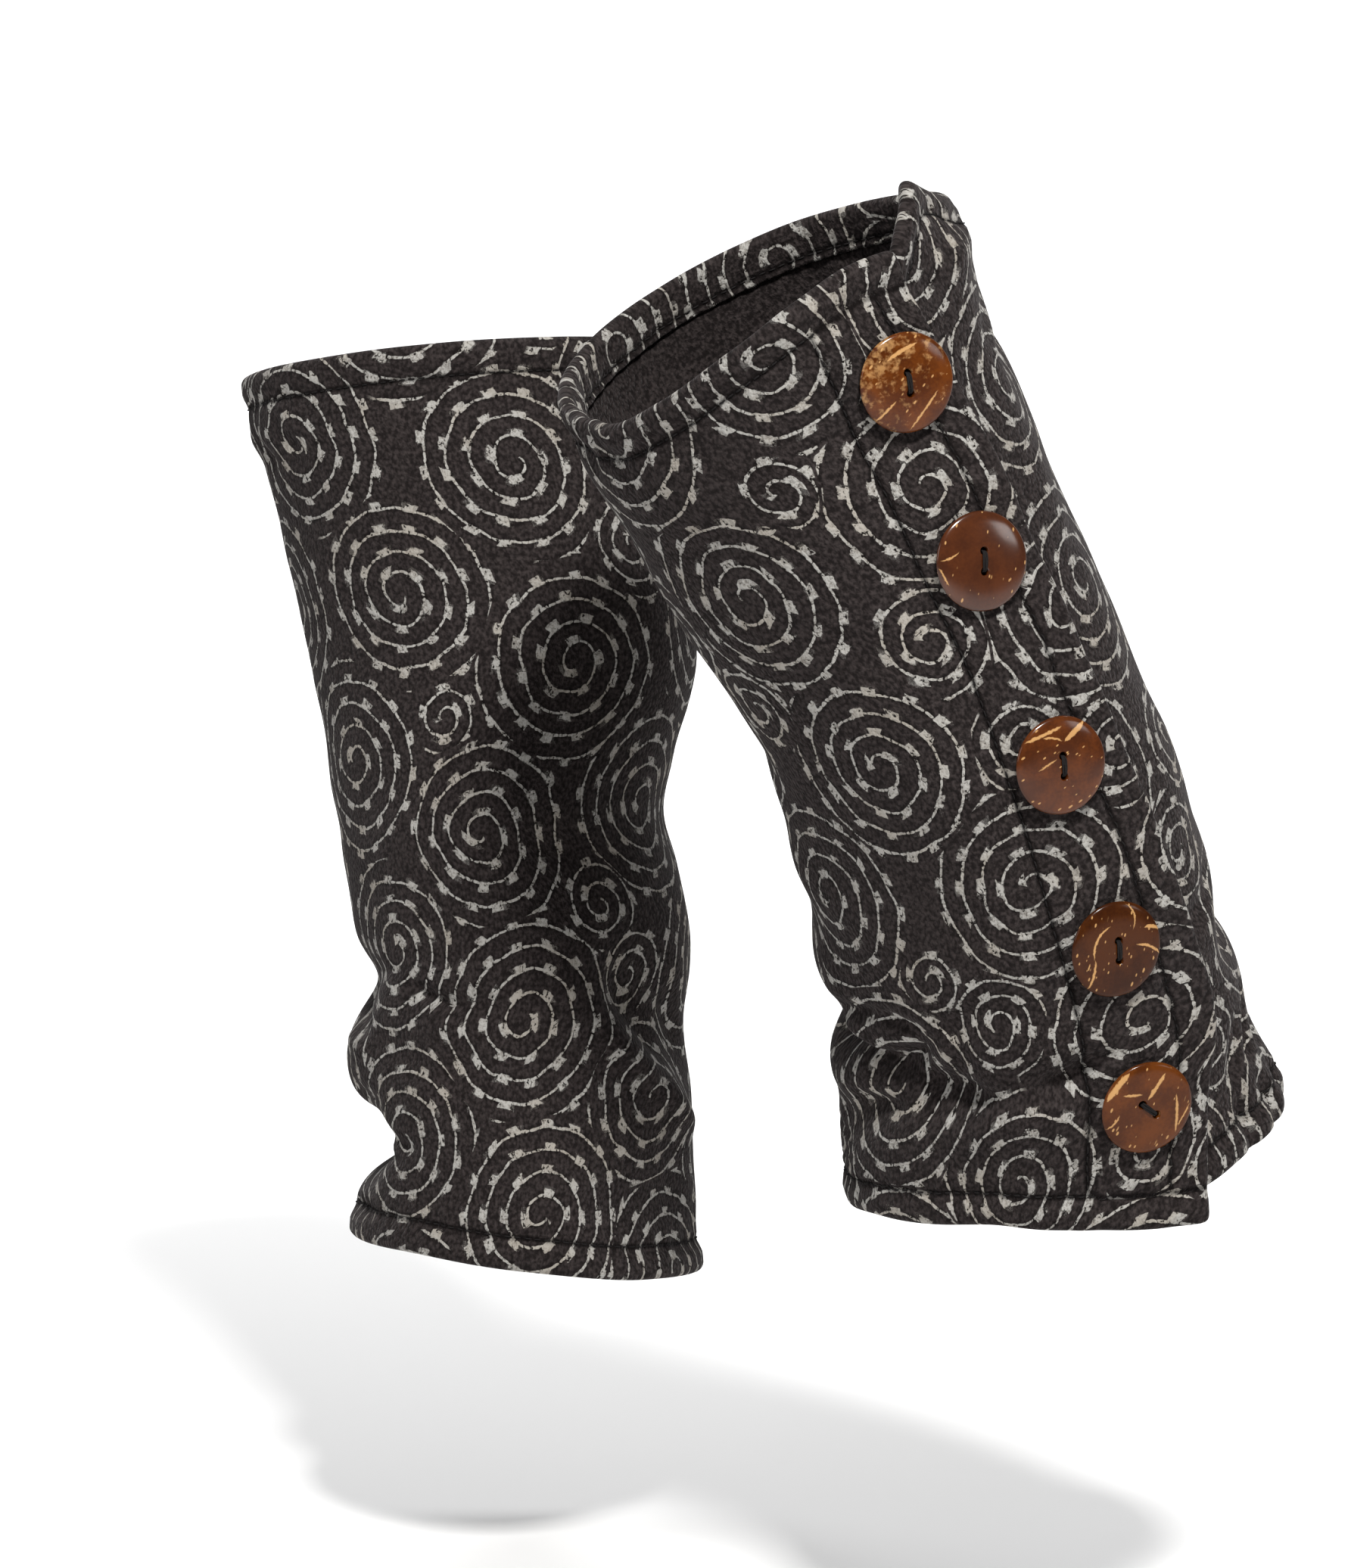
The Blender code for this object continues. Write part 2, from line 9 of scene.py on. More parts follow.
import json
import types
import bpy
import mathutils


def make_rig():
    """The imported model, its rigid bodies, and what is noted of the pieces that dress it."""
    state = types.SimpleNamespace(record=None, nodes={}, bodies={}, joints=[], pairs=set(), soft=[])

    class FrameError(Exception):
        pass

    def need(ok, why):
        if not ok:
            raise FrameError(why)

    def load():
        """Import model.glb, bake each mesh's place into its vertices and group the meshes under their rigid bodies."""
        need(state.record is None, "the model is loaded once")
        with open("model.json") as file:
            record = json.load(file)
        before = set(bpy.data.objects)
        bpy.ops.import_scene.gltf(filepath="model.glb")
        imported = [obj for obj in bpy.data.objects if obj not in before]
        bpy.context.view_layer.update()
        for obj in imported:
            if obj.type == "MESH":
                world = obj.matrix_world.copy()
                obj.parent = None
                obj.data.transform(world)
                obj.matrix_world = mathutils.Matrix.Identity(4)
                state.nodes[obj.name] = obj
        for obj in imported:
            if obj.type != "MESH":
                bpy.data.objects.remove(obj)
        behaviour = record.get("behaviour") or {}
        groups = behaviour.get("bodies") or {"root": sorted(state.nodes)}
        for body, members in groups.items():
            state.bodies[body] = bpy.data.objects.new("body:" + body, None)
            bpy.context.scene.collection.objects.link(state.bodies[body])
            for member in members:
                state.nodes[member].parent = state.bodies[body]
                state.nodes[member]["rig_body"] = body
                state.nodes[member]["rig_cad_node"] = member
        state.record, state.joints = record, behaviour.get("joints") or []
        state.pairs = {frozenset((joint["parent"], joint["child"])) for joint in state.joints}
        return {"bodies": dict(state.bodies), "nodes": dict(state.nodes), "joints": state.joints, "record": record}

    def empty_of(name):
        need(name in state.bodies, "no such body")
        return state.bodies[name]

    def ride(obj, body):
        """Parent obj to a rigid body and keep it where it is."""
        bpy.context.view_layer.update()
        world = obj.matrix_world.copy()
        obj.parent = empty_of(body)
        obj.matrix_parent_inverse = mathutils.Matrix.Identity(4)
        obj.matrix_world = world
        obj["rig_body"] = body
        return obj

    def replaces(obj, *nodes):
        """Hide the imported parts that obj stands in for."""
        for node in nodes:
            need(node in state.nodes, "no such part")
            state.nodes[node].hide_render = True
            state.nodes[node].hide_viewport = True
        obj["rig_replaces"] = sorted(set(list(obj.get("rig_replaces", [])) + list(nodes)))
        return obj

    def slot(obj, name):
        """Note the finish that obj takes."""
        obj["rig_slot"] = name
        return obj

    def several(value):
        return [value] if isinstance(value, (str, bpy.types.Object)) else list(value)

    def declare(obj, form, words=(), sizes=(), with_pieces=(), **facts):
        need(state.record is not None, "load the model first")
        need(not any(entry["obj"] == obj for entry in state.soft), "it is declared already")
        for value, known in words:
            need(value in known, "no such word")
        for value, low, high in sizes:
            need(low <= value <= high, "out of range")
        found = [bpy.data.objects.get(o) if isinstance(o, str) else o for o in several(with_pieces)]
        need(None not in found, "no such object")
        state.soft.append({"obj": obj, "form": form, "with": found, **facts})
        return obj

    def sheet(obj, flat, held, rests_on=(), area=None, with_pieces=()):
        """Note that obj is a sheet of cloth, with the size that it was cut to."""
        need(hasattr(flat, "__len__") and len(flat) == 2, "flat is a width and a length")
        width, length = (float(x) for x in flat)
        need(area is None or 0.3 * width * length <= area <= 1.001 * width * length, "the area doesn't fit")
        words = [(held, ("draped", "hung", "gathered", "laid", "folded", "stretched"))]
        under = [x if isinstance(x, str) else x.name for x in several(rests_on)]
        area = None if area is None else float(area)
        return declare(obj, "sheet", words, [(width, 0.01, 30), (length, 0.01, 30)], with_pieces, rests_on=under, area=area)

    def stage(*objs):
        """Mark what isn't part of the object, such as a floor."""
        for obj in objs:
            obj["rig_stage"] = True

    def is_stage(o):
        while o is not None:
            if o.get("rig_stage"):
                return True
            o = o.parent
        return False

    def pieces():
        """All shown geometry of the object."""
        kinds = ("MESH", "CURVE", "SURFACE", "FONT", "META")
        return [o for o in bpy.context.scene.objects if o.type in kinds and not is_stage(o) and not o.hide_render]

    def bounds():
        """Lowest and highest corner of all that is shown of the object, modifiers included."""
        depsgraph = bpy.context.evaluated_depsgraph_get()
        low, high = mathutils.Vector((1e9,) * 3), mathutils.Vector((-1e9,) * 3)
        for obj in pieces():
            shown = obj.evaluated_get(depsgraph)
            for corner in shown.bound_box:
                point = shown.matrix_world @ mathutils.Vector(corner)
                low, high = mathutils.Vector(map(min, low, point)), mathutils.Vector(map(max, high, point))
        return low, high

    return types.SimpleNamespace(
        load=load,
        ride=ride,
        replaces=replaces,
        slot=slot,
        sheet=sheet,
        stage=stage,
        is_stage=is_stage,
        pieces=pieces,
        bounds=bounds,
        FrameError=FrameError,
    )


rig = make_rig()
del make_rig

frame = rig.load()

import functools
import json
import logging
import math
from dataclasses import dataclass, field
from enum import Enum

import bmesh
import bpy
import numpy as np
from mathutils import Matrix, Vector

LOG = logging.getLogger("leg_warmers")
CAD_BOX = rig.bounds()

Colour = tuple[float, float, float]
Point = tuple[float, float, float]
Point2 = tuple[float, float]
Array = np.ndarray
Number = Array | float


# Sizes that the two leg warmers share


@dataclass(frozen=True)
class Cut:
    """The cloth and how the strip is cut, folded and sewn."""

    girth: float = 0.388
    cloth: float = 0.0022
    free_edge: float = -47.5
    placket_line: float = -14.5
    edge_line: float = -36.9
    underlap_end: float = 346.0
    hem_depth: float = 0.0105
    hem_half: float = 0.0026
    placket_half: float = 0.0023
    lap_step: float = 0.0028
    lap_lift: float = 0.0045
    lap_rise: Point2 = (30.0, -4.0)
    lap_dip: Point2 = (284.0, 306.0)
    swing_end: float = 40.0


CUT = Cut()
RADIUS = CUT.girth / math.tau  # of a round tube of this girth
CLOTH_STEP = 0.0018  # the cloth is divided about this finely round the tube
FINE_STEP = 0.0013  # and this finely up it where the folds lie
COARSE_STEP = 0.0022  # and this finely above them
FOLDED_SHARE = 0.42  # the folds lie below this share of the height
FOLD_TAPER = (0.35, 1.15)  # a fold dies out between these shares of the way to its ends


def table(kind: type, *rows: tuple) -> tuple:
    """Makes the rows of a table, each with its fields in their order."""
    return tuple(kind(*row) for row in rows)


@dataclass(frozen=True)
class Section:
    """The tube at a share of its height: how far back its middle lies, and half its depth."""

    height: float
    back: float
    half_depth: float


@dataclass(frozen=True)
class Edge:
    """How far a hem's folded edge rises above its ring at a turn."""

    turn: float
    rise: float


@dataclass(frozen=True)
class Swing:
    """How far the placket's free edge and its line swing aside, in degrees, at a share of the height."""

    height: float
    edge: float
    line: float


@dataclass(frozen=True)
class Fold:
    """A ridge or, where its depth is below zero, a trough between two places on the tube."""

    turn_a: float
    height_a: float
    turn_b: float
    height_b: float
    width: float
    depth: float


@dataclass(frozen=True)
class ButtonPlace:
    """Where a button is sewn, and how far it is turned from upright holes."""

    height: float
    turn: float
    spin: float


BUTTON_PLACES = table(
    ButtonPlace,
    (0.915, -32.5, -18), (0.716, -29.5, -25), (0.49, -28, -17), (0.281, -26.5, -14), (0.098, -28, 54),
)


@dataclass(frozen=True)
class Leg:
    """One tube as it is worn: where it stands, its rings, its edges, its folds and its finer creases."""

    name: str
    side: int
    middle: Point
    lean_forward: float
    lean_out: float
    length: float
    print_seed: int
    sections: tuple[Section, ...]
    top: tuple[Edge, ...]
    foot: tuple[Edge, ...]
    swings: tuple[Swing, ...]
    folds: tuple[Fold, ...]
    creases: tuple[Fold, ...]


LEFT = Leg(
    name="left",
    side=-1,
    middle=(0.0652, -0.0796, 0.0241),
    lean_forward=19.5,
    lean_out=10.1,
    length=0.276,
    print_seed=11,
    sections=table(
        Section,
        (0, 0.0015, 0.0645), (0.05, 0.0015, 0.0635), (0.12, 0.005, 0.0615), (0.2, 0.0095, 0.0585),
        (0.3, 0.012, 0.0565), (0.4, 0.013, 0.056), (0.5, 0.0125, 0.0545), (0.6, 0.01, 0.055),
        (0.7, 0.0045, 0.0575), (0.8, 0.002, 0.059), (0.9, -0.0015, 0.061), (1, -0.0015, 0.0605),
    ),
    top=table(
        Edge,
        (-47.5, 0.0115), (-35, 0.0125), (-15, 0.009), (6, 0.0015), (30, -0.008), (52, -0.0135), (90, -0.01),
        (180, 0), (255, 0.006), (276, 0.012), (294, 0.0215), (305, 0.014), (314, 0.005), (325, -0.006),
        (346, -0.012),
    ),
    foot=table(
        Edge,
        (-47.5, -0.016), (-31, -0.0111), (-2, -0.0012), (20, 0.0036), (55, 0.0058), (90, 0.0012),
        (180, -0.003), (270, -0.01), (317, -0.0105), (346, -0.0085),
    ),
    swings=table(
        Swing,
        (-0.06, 17.5, 14.5), (0, 13, 11), (0.08, 5, 6), (0.15, -1, 4), (0.3, 0, 4), (0.5, 2, 2), (0.7, 0, -2),
        (0.9, 3, -1), (1, 7, 1),
    ),
    folds=table(
        Fold,
        (120, 0.3, 55, 0.275, 0.012, 0.0035), (115, 0.24, 60, 0.212, 0.008, -0.008),
        (58, 0.197, 14, 0.185, 0.008, -0.006), (18, 0.183, -16, 0.146, 0.008, -0.004),
        (112, 0.18, 58, 0.166, 0.01, 0.003), (92, 0.11, 44, 0.153, 0.007, -0.0035),
        (48, 0.154, 16, 0.154, 0.007, -0.0025), (240, 0.215, 292, 0.17, 0.009, -0.004),
        (150, 0.19, 215, 0.235, 0.01, -0.0045), (165, 0.11, 235, 0.13, 0.009, -0.003),
        (250, 1.09, 300, 1.09, 0.016, -0.0065), (255, 0.985, 300, 0.985, 0.006, 0.0025),
        (245, 0, 300, 0, 0.01, 0.0018),
    ),
    creases=table(
        Fold,
        (76, 0.25, 50, 0.257, 0.003, -0.003), (52, 0.257, 34, 0.236, 0.003, -0.0032),
        (50, 0.192, 30, 0.232, 0.004, -0.0039), (34, 0.23, 0, 0.27, 0.0068, -0.0024),
        (88, 0.204, 66, 0.212, 0.0028, -0.0038), (70, 0.214, 48, 0.193, 0.0026, -0.0046),
        (64, 0.186, 44, 0.19, 0.004, -0.003), (84, 0.231, 58, 0.235, 0.005, 0.0035),
        (40, 0.218, 26, 0.206, 0.006, 0.0024), (44, 0.178, 14, 0.155, 0.0034, -0.0033),
        (46, 0.162, 2, 0.149, 0.004, -0.003), (4, 0.148, -21, 0.166, 0.0038, -0.0035),
        (36, 0.192, -8, 0.182, 0.0085, 0.0021), (30, 0.122, -14, 0.122, 0.008, 0.0018),
        (72, 0.147, 42, 0.145, 0.0034, -0.0024), (44, 0.144, 14, 0.146, 0.0034, -0.0019),
        (98, 0.09, 72, 0.092, 0.0018, -0.0015), (98, 0.076, 70, 0.077, 0.0018, -0.0014),
        (100, 0.062, 72, 0.063, 0.0018, -0.0014), (100, 0.048, 76, 0.05, 0.0016, -0.0011),
        (78, 0.955, 62, 0.895, 0.0034, -0.0019), (66, 0.958, 48, 0.905, 0.003, -0.0016),
        (98, 0.96, 84, 0.9, 0.0034, -0.0019), (14, 0.7, 2, 0.64, 0.006, -0.0015),
        (120, 0.56, 60, 0.52, 0.009, -0.0015), (100, 0.42, 30, 0.36, 0.009, 0.0014),
        (262, 0.12, 276, 0.03, 0.0032, -0.0024), (274, 0.125, 289, 0.03, 0.0032, -0.0027),
        (286, 0.11, 301, 0.03, 0.0032, -0.0024), (262, 0.03, 262, -0.04, 0.0026, -0.0025),
        (275, 0.03, 275, -0.045, 0.0026, -0.0025), (288, 0.03, 288, -0.05, 0.0026, -0.0025),
        (300, 0.03, 301, -0.05, 0.0026, -0.0024), (262, 0.93, 290, 0.88, 0.004, -0.0019),
        (250, 0.9, 282, 0.84, 0.005, -0.0016), (270, 0.26, 306, 0.225, 0.004, -0.0024),
        (236, 0.2, 262, 0.19, 0.0032, -0.0027), (150, 0.262, 190, 0.25, 0.0045, -0.003),
        (186, 0.23, 212, 0.262, 0.0035, -0.0024), (140, 0.15, 176, 0.128, 0.0036, -0.0024),
        (196, 0.165, 232, 0.148, 0.0036, -0.0022), (176, 0.06, 178, 0.01, 0.003, -0.0014),
        (206, 0.06, 203, 0.01, 0.003, -0.0014), (200, 0.96, 206, 0.9, 0.0036, -0.0016),
        (226, 0.96, 222, 0.905, 0.0032, -0.0014),
    ),
)

RIGHT = Leg(
    name="right",
    side=1,
    middle=(-0.0644, 0.080, -0.0264),
    lean_forward=5.0,
    lean_out=8.4,
    length=0.287,
    print_seed=4,
    sections=table(
        Section,
        (0, -0.0005, 0.055), (0.1, 0.003, 0.0535), (0.24, 0.004, 0.053), (0.3, 0.0065, 0.0535),
        (0.36, 0.008, 0.053), (0.42, 0.007, 0.052), (0.48, 0.0045, 0.051), (0.54, 0.006, 0.054),
        (0.6, 0.009, 0.0575), (0.66, 0.01, 0.0605), (0.8, 0.006, 0.0615), (0.9, 0.002, 0.0615),
        (0.935, 0, 0.0635), (1, 0, 0.064),
    ),
    top=table(
        Edge,
        (-47.5, -0.002), (-35, 0.003), (0, 0.002), (45, 0.001), (90, 0.0008), (180, 0.0024), (250, 0.0014),
        (290, 0.004), (320, -0.004), (346, -0.007),
    ),
    foot=table(
        Edge,
        (-47.5, -0.0075), (-31, -0.006), (0, 0.001), (45, 0.007), (90, 0.0105), (135, 0.008), (180, 0),
        (225, -0.008), (270, -0.0108), (317, -0.0075), (346, -0.0055),
    ),
    swings=table(
        Swing,
        (0, 6, 6), (0.1, 2, 3), (0.2, 0, 2), (0.8, 0, -1), (1, 3, 0),
    ),
    folds=table(
        Fold,
        (52, 0.33, 128, 0.312, 0.01, -0.0075), (45, 0.142, 128, 0.144, 0.0095, -0.019),
        (55, 0.23, 120, 0.236, 0.012, 0.0015), (193, 0.3, 258, 0.12, 0.008, 0.004),
        (206, 0.335, 266, 0.19, 0.011, -0.0045), (300, 0.23, 352, 0.29, 0.01, -0.004),
        (330, 0.13, 382, 0.17, 0.009, -0.0035),
    ),
    creases=table(
        Fold,
        (94, 0.306, 122, 0.262, 0.004, -0.0027), (112, 0.33, 140, 0.335, 0.004, -0.0016),
        (140, 0.316, 160, 0.289, 0.0026, -0.0034), (154, 0.291, 176, 0.292, 0.003, -0.0027),
        (146, 0.276, 174, 0.272, 0.005, 0.0014), (122, 0.266, 152, 0.226, 0.006, -0.0018),
        (146, 0.226, 204, 0.206, 0.0075, -0.0018), (100, 0.268, 122, 0.244, 0.004, 0.0016),
        (64, 0.146, 126, 0.145, 0.0056, -0.0035), (120, 0.16, 146, 0.132, 0.003, -0.0024),
        (116, 0.14, 140, 0.118, 0.0026, -0.0019), (100, 0.205, 128, 0.185, 0.0034, -0.0019),
        (194, 0.326, 198, 0.24, 0.004, 0.0016), (198, 0.245, 207, 0.16, 0.004, 0.0016),
        (208, 0.25, 232, 0.18, 0.004, 0.0018), (230, 0.182, 262, 0.116, 0.004, 0.0018),
        (212, 0.31, 240, 0.2, 0.005, -0.0022), (240, 0.29, 262, 0.215, 0.004, -0.002),
        (150, 0.07, 176, 0.052, 0.005, 0.0012), (192, 0.075, 262, 0.05, 0.013, -0.0036),
        (96, 0.075, 118, 0.07, 0.0026, -0.0016), (100, 0.945, 112, 0.89, 0.0036, -0.0019),
        (118, 0.95, 130, 0.905, 0.0032, -0.0014), (150, 0.955, 152, 0.91, 0.0034, -0.0011),
        (232, 0.955, 224, 0.89, 0.004, -0.0016), (178, 0.47, 230, 0.43, 0.008, -0.0014),
        (120, 0.52, 176, 0.56, 0.008, -0.0012), (286, 0.3, 312, 0.262, 0.0036, -0.0027),
        (302, 0.215, 336, 0.232, 0.0034, -0.0024), (282, 0.14, 318, 0.128, 0.0036, -0.0022),
        (10, 0.3, 42, 0.325, 0.004, -0.0027), (-8, 0.205, 34, 0.18, 0.0036, -0.0027),
        (14, 0.14, 50, 0.15, 0.0034, -0.0024), (30, 0.25, 58, 0.232, 0.0036, -0.0024),
        (20, 0.06, 18, 0.015, 0.003, -0.0014), (262, 0.06, 266, 0, 0.0028, -0.0015),
        (282, 0.055, 284, 0, 0.0028, -0.0015), (40, 0.95, 46, 0.89, 0.0034, -0.0016),
        (284, 0.95, 276, 0.89, 0.0036, -0.0016),
    ),
)


# The form of a worn tube


def arc(turn: Number) -> Number:
    """The length of cloth that a turn spans."""
    return np.radians(turn) * RADIUS


def turned(length: Number) -> Number:
    """The turn that a length of cloth spans."""
    return np.degrees(length / RADIUS)


def smooth(rows: tuple, at: Array) -> list[Array]:
    """Reads a table of rows on a curve that doesn't overshoot.

    Args:
        rows: rows of one dataclass; the first field is where, the others are what.
        at: the places to read.

    Returns:
        One array for each field after the first.
    """
    grid = np.array([tuple(vars(row).values()) for row in rows], dtype=float)
    x = grid[:, 0]
    steps = np.diff(x)
    at = np.clip(at, x[0], x[-1])
    span = np.clip(np.searchsorted(x, at, side="right") - 1, 0, len(x) - 2)
    t = (at - x[span]) / steps[span]
    columns = []
    for y in grid[:, 1:].T:
        slope = np.diff(y) / steps
        tangent = np.zeros(len(x))
        inner = slope[:-1] * slope[1:] > 0
        tangent[1:-1][inner] = 2 * slope[:-1][inner] * slope[1:][inner] / (slope[:-1] + slope[1:])[inner]
        tangent[0], tangent[-1] = slope[0], slope[-1]
        columns.append(
            (2 * t**3 - 3 * t**2 + 1) * y[span]
            + (t**3 - 2 * t**2 + t) * steps[span] * tangent[span]
            + (3 * t**2 - 2 * t**3) * y[span + 1]
            + (t**3 - t**2) * steps[span] * tangent[span + 1]
        )
    return columns


def ease(value: Number, start: float, end: float) -> Array:
    """A soft step.

    Args:
        value: what is compared.
        start: where the step is still 0.
        end: where it has reached 1.

    Returns:
        The step's height, from 0 to 1.
    """
    t = np.clip((value - start) / (end - start), 0.0, 1.0)
    return t * t * (3 - 2 * t)


def nearness(away: Array, width: float) -> Array:
    """1 where a distance is none, dying away within about a width."""
    return np.exp(-((away / width) ** 2))


def rounded(inset: Array, bend: float, least: float = 0.003) -> Array:
    """A fold's round section.

    Args:
        inset: how far in from the fold.
        bend: how far in the section is full.
        least: the least share, squared.

    Returns:
        The share of the full size there.
    """
    return np.sqrt(np.clip(1 - (1 - np.clip(inset / bend, 0, 1)) ** 2, least, 1))


@dataclass
class WornForm:
    """The surface of one worn tube, as a function of turn, height and distance out of the cloth's middle."""

    leg: Leg
    lump_count: int = 18
    lump_height: float = 0.00042
    pucker_height: float = 0.00034
    pucker_pitch: float = 0.0078
    pucker_reach: float = 0.0048

    def __post_init__(self) -> None:
        """Works out the tube's directions and its soft lumps."""
        leg = self.leg
        up = Vector(
            (-math.tan(math.radians(leg.lean_forward)), leg.side * math.tan(math.radians(leg.lean_out)), 1.0)
        ).normalized()
        forward = Vector((-1.0, 0.0, 0.0))
        forward = (forward - forward.dot(up) * up).normalized()
        self.up, self.forward = np.array(up), np.array(forward)
        self.outward = np.array(-leg.side * up.cross(forward))
        self.ring = np.array(leg.middle) - self.up * leg.length / 2
        chance = np.random.default_rng(leg.print_seed + 70)
        self.lump_waves = chance.normal(size=(self.lump_count, 3))
        self.lump_waves /= np.linalg.norm(self.lump_waves, axis=1, keepdims=True)
        sizes = chance.uniform(0.016, 0.050, self.lump_count)
        self.lump_waves *= (math.tau / sizes)[:, None]
        self.lump_phases = chance.uniform(0, math.tau, self.lump_count)
        self.lump_shares = sizes / 0.050

    def edges(self, turn: Number) -> tuple[Array, Array]:
        """Heights of the folded edges.

        Args:
            turn: degrees round the tube.

        Returns:
            The foot edge's and the top edge's heights along the axis.
        """
        return smooth(self.leg.foot, turn)[0], self.leg.length + smooth(self.leg.top, turn)[0]

    def seams(self, turn: Array, height: Array) -> tuple[Array, ...]:
        """How far places lie in from the seams; below zero is on a seam's other side.

        Args:
            turn: degrees along the strip.
            height: height along the axis.

        Returns:
            The distances to the placket's line, the line at its edge, the foot hem's line and the top hem's.
        """
        foot, top = self.edges(turn)
        line, edge = arc(turn - CUT.placket_line), arc(turn - CUT.edge_line)
        return line, edge, height - foot - CUT.hem_depth, top - CUT.hem_depth - height

    def swung(self, turn: Array, share: Array) -> Array:
        """Moves the placket aside as it is worn.

        Args:
            turn: degrees along the strip.
            share: height as a share of the tube's length.

        Returns:
            The angle round the tube at which that place lies.
        """
        edge, line = smooth(self.leg.swings, share)
        across = np.clip((turn - CUT.free_edge) / (CUT.placket_line - CUT.free_edge), 0, 1)
        return turn + (edge + across * (line - edge)) * (1 - ease(turn, CUT.placket_line, CUT.swing_end))

    def fold_depth(self, folds: tuple[Fold, ...], angle: Array, share: Array) -> Array:
        """Adds up ridges and troughs.

        Args:
            folds: the folds to add.
            angle: degrees round the tube.
            share: height as a share of the tube's length.

        Returns:
            How far they move the cloth out.
        """
        moved = np.zeros(np.broadcast(angle, share).shape)
        for fold in folds:
            near = (np.asarray(angle) - (fold.turn_a + fold.turn_b) / 2 + 180) % 360 - 180
            x = arc(near)
            y = (share - (fold.height_a + fold.height_b) / 2) * self.leg.length
            half_x = arc(fold.turn_b - fold.turn_a) / 2
            half_y = (fold.height_b - fold.height_a) * self.leg.length / 2
            reach = math.hypot(half_x, half_y)
            along = (x * half_x + y * half_y) / reach**2
            across = (x * half_y - y * half_x) / reach
            taper = 1 - ease(np.abs(along), *FOLD_TAPER)
            moved = moved + fold.depth * taper * nearness(across, fold.width)
        return moved

    def relief(self, turn: Array, angle: Array, height: Array) -> Array:
        """The finer creases, soft lumps and the puckers beside the stitches.

        Args:
            turn: degrees along the strip.
            angle: degrees round the tube.
            height: height along the axis.

        Returns:
            How far they move the cloth out.
        """
        a = np.radians(angle)
        place = np.stack([RADIUS * np.cos(a), RADIUS * np.sin(a), height + 0 * a], axis=-1)
        lumps = np.cos(place @ self.lump_waves.T + self.lump_phases) @ self.lump_shares
        lumps = lumps * self.lump_height / math.sqrt(self.lump_count / 2)
        run = arc(turn)
        drift = 2.2 * np.cos(run / 0.031) + 1.7 * np.sin(height / 0.027 + 1)
        moved = lumps + self.fold_depth(self.leg.creases, angle, height / self.leg.length)
        line, edge, foot, top = self.seams(turn, height)
        for away, along in ((foot, run), (top, run), (edge, height), (line, height)):
            waves = np.cos(math.tau * along / self.pucker_pitch + drift)
            moved = moved + self.pucker_height * nearness(away, self.pucker_reach) * waves
        return moved

    def points(self, turn: Number, height: Number, out: Number, worn: bool = True) -> Array:
        """Points of the cloth.

        Args:
            turn: degrees along the strip.
            height: height along the axis.
            out: distance out of the cloth's middle.
            worn: whether the finer creases are felt.

        Returns:
            The points, with their three coordinates last.
        """
        turn, height, out = np.broadcast_arrays(
            np.asarray(turn, float), np.asarray(height, float), np.asarray(out, float)
        )
        share = height / self.leg.length
        back, half_depth = smooth(self.leg.sections, np.clip(share, 0, 1))
        half_width = np.sqrt(2 * RADIUS**2 - half_depth**2)
        angle = self.swung(turn, share)
        sine, cosine = np.sin(np.radians(angle)), np.cos(np.radians(angle))
        normal_f, normal_s = sine / half_depth, cosine / half_width
        size = np.hypot(normal_f, normal_s)
        lap = ease(-turn, -CUT.lap_rise[0], -CUT.lap_rise[1]) - ease(turn, *CUT.lap_dip)
        beyond = np.clip((CUT.placket_line - turn) / (CUT.placket_line - CUT.free_edge), 0, None)
        off = out + CUT.lap_step * lap + CUT.lap_lift * beyond**2
        off = off + self.fold_depth(self.leg.folds, angle, share)
        if worn:
            off = off + self.relief(turn, angle, height)
        forward = (half_depth * sine - back + off * normal_f / size)[..., None]
        outward = (half_width * cosine + off * normal_s / size)[..., None]
        return self.ring + forward * self.forward + outward * self.outward + height[..., None] * self.up


# Meshes


def in_scene(name: str, data: bpy.types.ID) -> bpy.types.Object:
    """Puts a mesh, a light or a camera into the scene.

    Args:
        name: the object's name.
        data: what it shows.

    Returns:
        The object.
    """
    made = bpy.data.objects.new(name, data)
    bpy.context.scene.collection.objects.link(made)
    return made


def mesh_object(name: str, points: list | Array, faces: list | Array) -> bpy.types.Object:
    """A smooth object from points and faces, with its faces turned outwards.

    Args:
        name: the object's name.
        points: its points, one to a row.
        faces: its faces, as rows of point numbers.

    Returns:
        The object, in the scene.
    """
    mesh = bpy.data.meshes.new(name)
    mesh.from_pydata(np.asarray(points).tolist(), [], [tuple(face) for face in faces])
    shape = bmesh.new()
    shape.from_mesh(mesh)
    bmesh.ops.recalc_face_normals(shape, faces=shape.faces)
    shape.to_mesh(mesh)
    shape.free()
    mesh.shade_smooth()
    return in_scene(name, mesh)


def ring_faces(count: int, size: int) -> Array:
    """Faces between neighbours in a row of closed rings.

    Args:
        count: how many rings there are.
        size: how many points each has.

    Returns:
        The faces, as rows of four point numbers.
    """
    i, j = np.meshgrid(np.arange(count - 1), np.arange(size), indexing="ij")
    here, beside = i * size + j, i * size + (j + 1) % size
    return np.stack([here, beside, beside + size, here + size], axis=-1).reshape(-1, 4)


def strip_faces(count: int, size: int) -> Array:
    """Faces of a closed shell swept through loops.

    Args:
        count: how many loops there are.
        size: how many points each has; its second half runs back along the first.

    Returns:
        The faces, as rows of four point numbers.
    """
    j = np.arange(size // 2 - 1)
    cap = np.stack([j, j + 1, size - 2 - j, size - 1 - j], axis=-1)
    return np.concatenate([ring_faces(count, size), cap, cap[:, ::-1] + (count - 1) * size])


